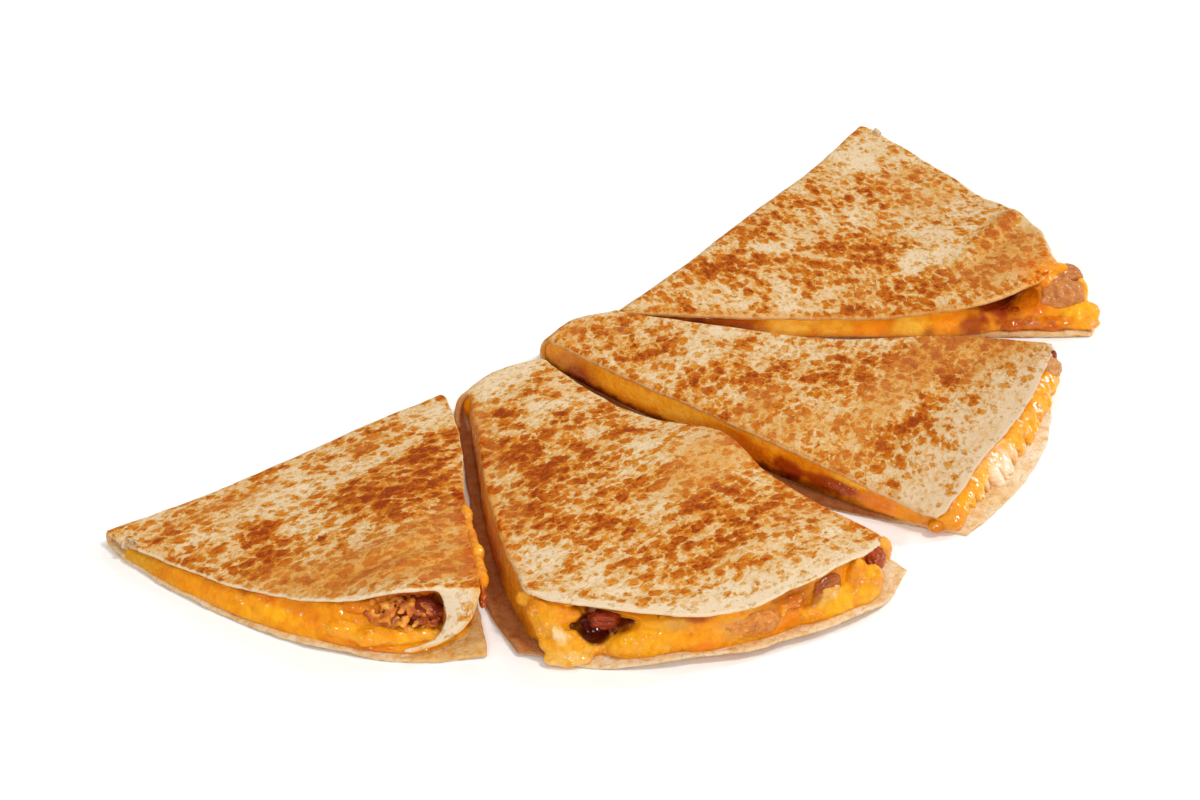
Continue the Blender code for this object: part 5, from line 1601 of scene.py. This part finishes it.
# hollows and creases carved into the cheese lumps; the walls of each take its colour, dark in the hollows and
# caramel or brown-orange in the creases: painted shade
SHADED_CUTS = {
    2: (((-94.4, -41.6, 6.6), (3.4, 3.4, 2.8), -46, 24, HOLLOW_SHADE),
        ((-91.6, -45.4, 9.6), (5.0, 4.6, 2.4), -46, -8, HOLLOW_SHADE),
        ((-86.0, -48.6, 10.4), (4.6, 3.4, 1.5), -44, -8, HOLLOW_SHADE),
        ((-62.0, -68.6, 11.6), (7.0, 1.8, 1.0), -22, 0, CARAMEL),
        ((-80.4, -56.8, 6.0), (0.9, 2.4, 4.4), -38, 0, linear(206, 104, 28)),
        ((-76.4, -62.0, 7.0), (1.0, 1.2, 1.8), -30, 0, linear(206, 96, 28)),
        ((-72.6, -63.6, 9.0), (1.6, 1.2, 1.2), -30, 0, CARAMEL),
        ((-59.0, -70.8, 5.8), (1.2, 1.2, 1.8), -30, 0, linear(196, 92, 30)),
        ((-54.0, -71.6, 8.4), (2.6, 1.2, 1.2), -22, 0, CARAMEL)),
    4: (((87.8, -22.0, 8.9), (5.4, 5.2, 3.0), -42, 6, HOLLOW_SHADE),),
}
CHAINS = {
    1: (),
    2: along_rim(2, 0.05, 0.97, 3.3, 5.2, (2.7, 2.9, 1.0), 0.0, 1.7),
    3: (),
    4: along_rim(4, 0.0, 0.16, 3.0, 2.6, (3.6, 2.8, 0.9)),
}
for number, table in LUMPS.items():
    keep(mass(f"wedge{number}_cheese_lumps", list(CHAINS[number]) + list(table), SHADED_CUTS.get(number, ()), cheese,
              60 + number, soft=1.4, gnarl=(0.62, 3.0, 0.10, 1.2), base=CHEESE, stains_light_and_shade=STAINS_LIGHT_AND_SHADE[number], wet=0.6), "cheese")

# the cheese that has run out in ribs under wedge 3's rim
dice = np.random.RandomState(5)
ribs, s_at = [], 0.13
wide3 = spans(WEDGES[3]["top"])[0]
while s_at < 0.93:
    (place_xy,) = along_rim(3, s_at, s_at + 0.001, 1.0, 0.6 + dice.uniform(-0.5, 0.5), (1, 1, 1))
    (x, y, z), (_, _, tall), turn = place_xy[0], place_xy[1], place_xy[2]
    half_wide = dice.uniform(0.65, 1.45)
    run = dice.uniform(3.8, 4.8) * (0.8 + 0.25 * math.sin(math.pi * s_at))
    tone = dice.uniform(0, 1)
    # the ribs about s = 0.37 are painted near white: a painted highlight on the wet cheese
    white = math.exp(-((s_at - 0.37) / 0.095) ** 2)
    first = np.array(linear(232 + 6 * tone, 146 + 22 * tone, 34)) * (1 - white)
    first = first + white * np.array(linear(242, 234, 222))
    second = np.array(linear(240, 174, 60)) * (1 - white) + white * np.array(linear(238, 214, 176))
    ribs.append(((x, y, z - 0.55), (run * (1 + 0.3 * white), half_wide, tall * 0.92),
                 turn - 90 + dice.uniform(-20, 20), dice.uniform(14, 34), tuple(first), tuple(second)))
    s_at += (half_wide * 1.55) / wide3
run_under = [part[:4] + (linear(232, 150, 36), linear(238, 164, 46))
             for part in along_rim(3, 0.12, 0.93, 1.8, 1.4, (3.0, 3.6, 0.84))]
keep(mass("wedge3_cheese_ribs", run_under + ribs, (), ribbed, 95, step=0.36, soft=0.95, gnarl=(0.40, 3.0, 0.05, 1.0),
          base=CHEESE, wet=1.0), "cheese")

# crumbled, browned chicken in wedge 1's mouth
# the two lightest grain colours are painted lighter to make up for the shade in the mouth: partly painted light
GRAINS = (linear(252, 196, 90), linear(244, 168, 64), linear(222, 122, 40), linear(160, 62, 22), linear(120, 28, 10))
dice = np.random.RandomState(41)
grains = [((-122.0, -4.8, 6.6), (5.2, 3.0, 2.7), 128, 0, linear(128, 34, 12), linear(164, 60, 22))]
for k in range(330):
    d = dice.normal(size=3)
    d /= np.linalg.norm(d)
    if d[2] < -0.5:
        continue
    at = turned((d * dice.uniform(0.88, 1.16) * np.array((8.2, 3.8, 3.7)))[None], 128)[0] + np.array((-120.2, -6.4, 7.0))
    size = dice.uniform(0.36, 0.95)
    # grains darken toward the right, into the mouth's hollow: partly the darker chicken there, partly painted shade
    shaded_right = ease(-120, -115, at[0])
    first = GRAINS[min(int(dice.uniform(0, 4.2) + 2.8 * shaded_right), 4)]
    grains.append((tuple(at), tuple(size * dice.uniform(0.6, 1.3, 3)), dice.uniform(0, 180), dice.uniform(-60, 60),
                   first, GRAINS[min(int(dice.uniform(1.4, 4.6)), 4)]))
keep(mass("wedge1_crumbs", grains, (), chicken, 43, step=0.27, soft=0.22, gnarl=(0.12, 1.2, 0.06, 0.5),
          base=GRAINS[3]), "chicken")

# ---------------------------------------------------------------------------------------------
# floor and light
# ---------------------------------------------------------------------------------------------
floor_mesh = bpy.data.meshes.new("floor")
floor_mesh.from_pydata([(-4, -4, -0.0001), (4, -4, -0.0001), (4, 4, -0.0001), (-4, 4, -0.0001)], [], [(0, 1, 2, 3)])
floor = bpy.data.objects.new("floor", floor_mesh)
bpy.context.scene.collection.objects.link(floor)
pale = Nodes("floor")
tone = pale.noise(pale.place(), 60.0, 2.0, 0.5)
floor_mesh.materials.append(pale.set(
    Base_Color=pale.mix(tone, (0.985, 0.98, 0.975), (1.0, 0.998, 0.995)), Roughness=0.7))

world = bpy.data.worlds.new("world")
bpy.context.scene.world = world
world.use_nodes = True
world.node_tree.nodes["Background"].inputs["Color"].default_value = (1.0, 0.99, 0.975, 1)
world.node_tree.nodes["Background"].inputs["Strength"].default_value = 0.40


def lamp(name, toward, far, size, power, colour=(1, 1, 1)):
    """An area light far metres from the food, in a direction (right, back, up) of the view."""
    flat = Vector((ahead.x, ahead.y, 0)).normalized()
    d = (across * toward[0] + flat * toward[1] + Vector((0, 0, 1)) * toward[2]).normalized()
    made = bpy.data.lights.new(name, "AREA")
    made.shape, made.size, made.energy, made.color = "DISK", size, power, colour
    thing = bpy.data.objects.new(name, made)
    bpy.context.scene.collection.objects.link(thing)
    thing.location = target + d * far
    thing.rotation_euler = (-d).to_track_quat("-Z", "Y").to_euler()


lamp("key", (0.50, -0.22, 1.0), 3.9, 0.58, 56.0, (1.0, 0.98, 0.95))
lamp("side", (0.75, 0.42, 0.52), 3.6, 0.46, 35.0, (1.0, 0.98, 0.95))
lamp("fill", (-0.25, -1.0, 0.50), 3.0, 0.38, 22.0, (1.0, 0.98, 0.96))
lamp("back", (0.1, 1.0, 0.75), 3.0, 0.34, 6.0, (1.0, 0.98, 0.96))
# small lamps far off, for the points of light on wet cheese
for k, toward in enumerate(((0.15, -0.80, 0.75), (-0.65, -0.35, 0.60), (0.05, 0.30, 1.0), (0.95, -0.40, 0.42),
                            (0.40, -1.0, 0.25))):
    lamp(f"glint_{k}", toward, 3.2, 0.22, 7.0, (1.0, 0.98, 0.95))

bpy.context.scene.view_settings.view_transform = "Standard"
bpy.context.scene.view_settings.look = "None"
bpy.context.scene.view_settings.exposure = 0.0
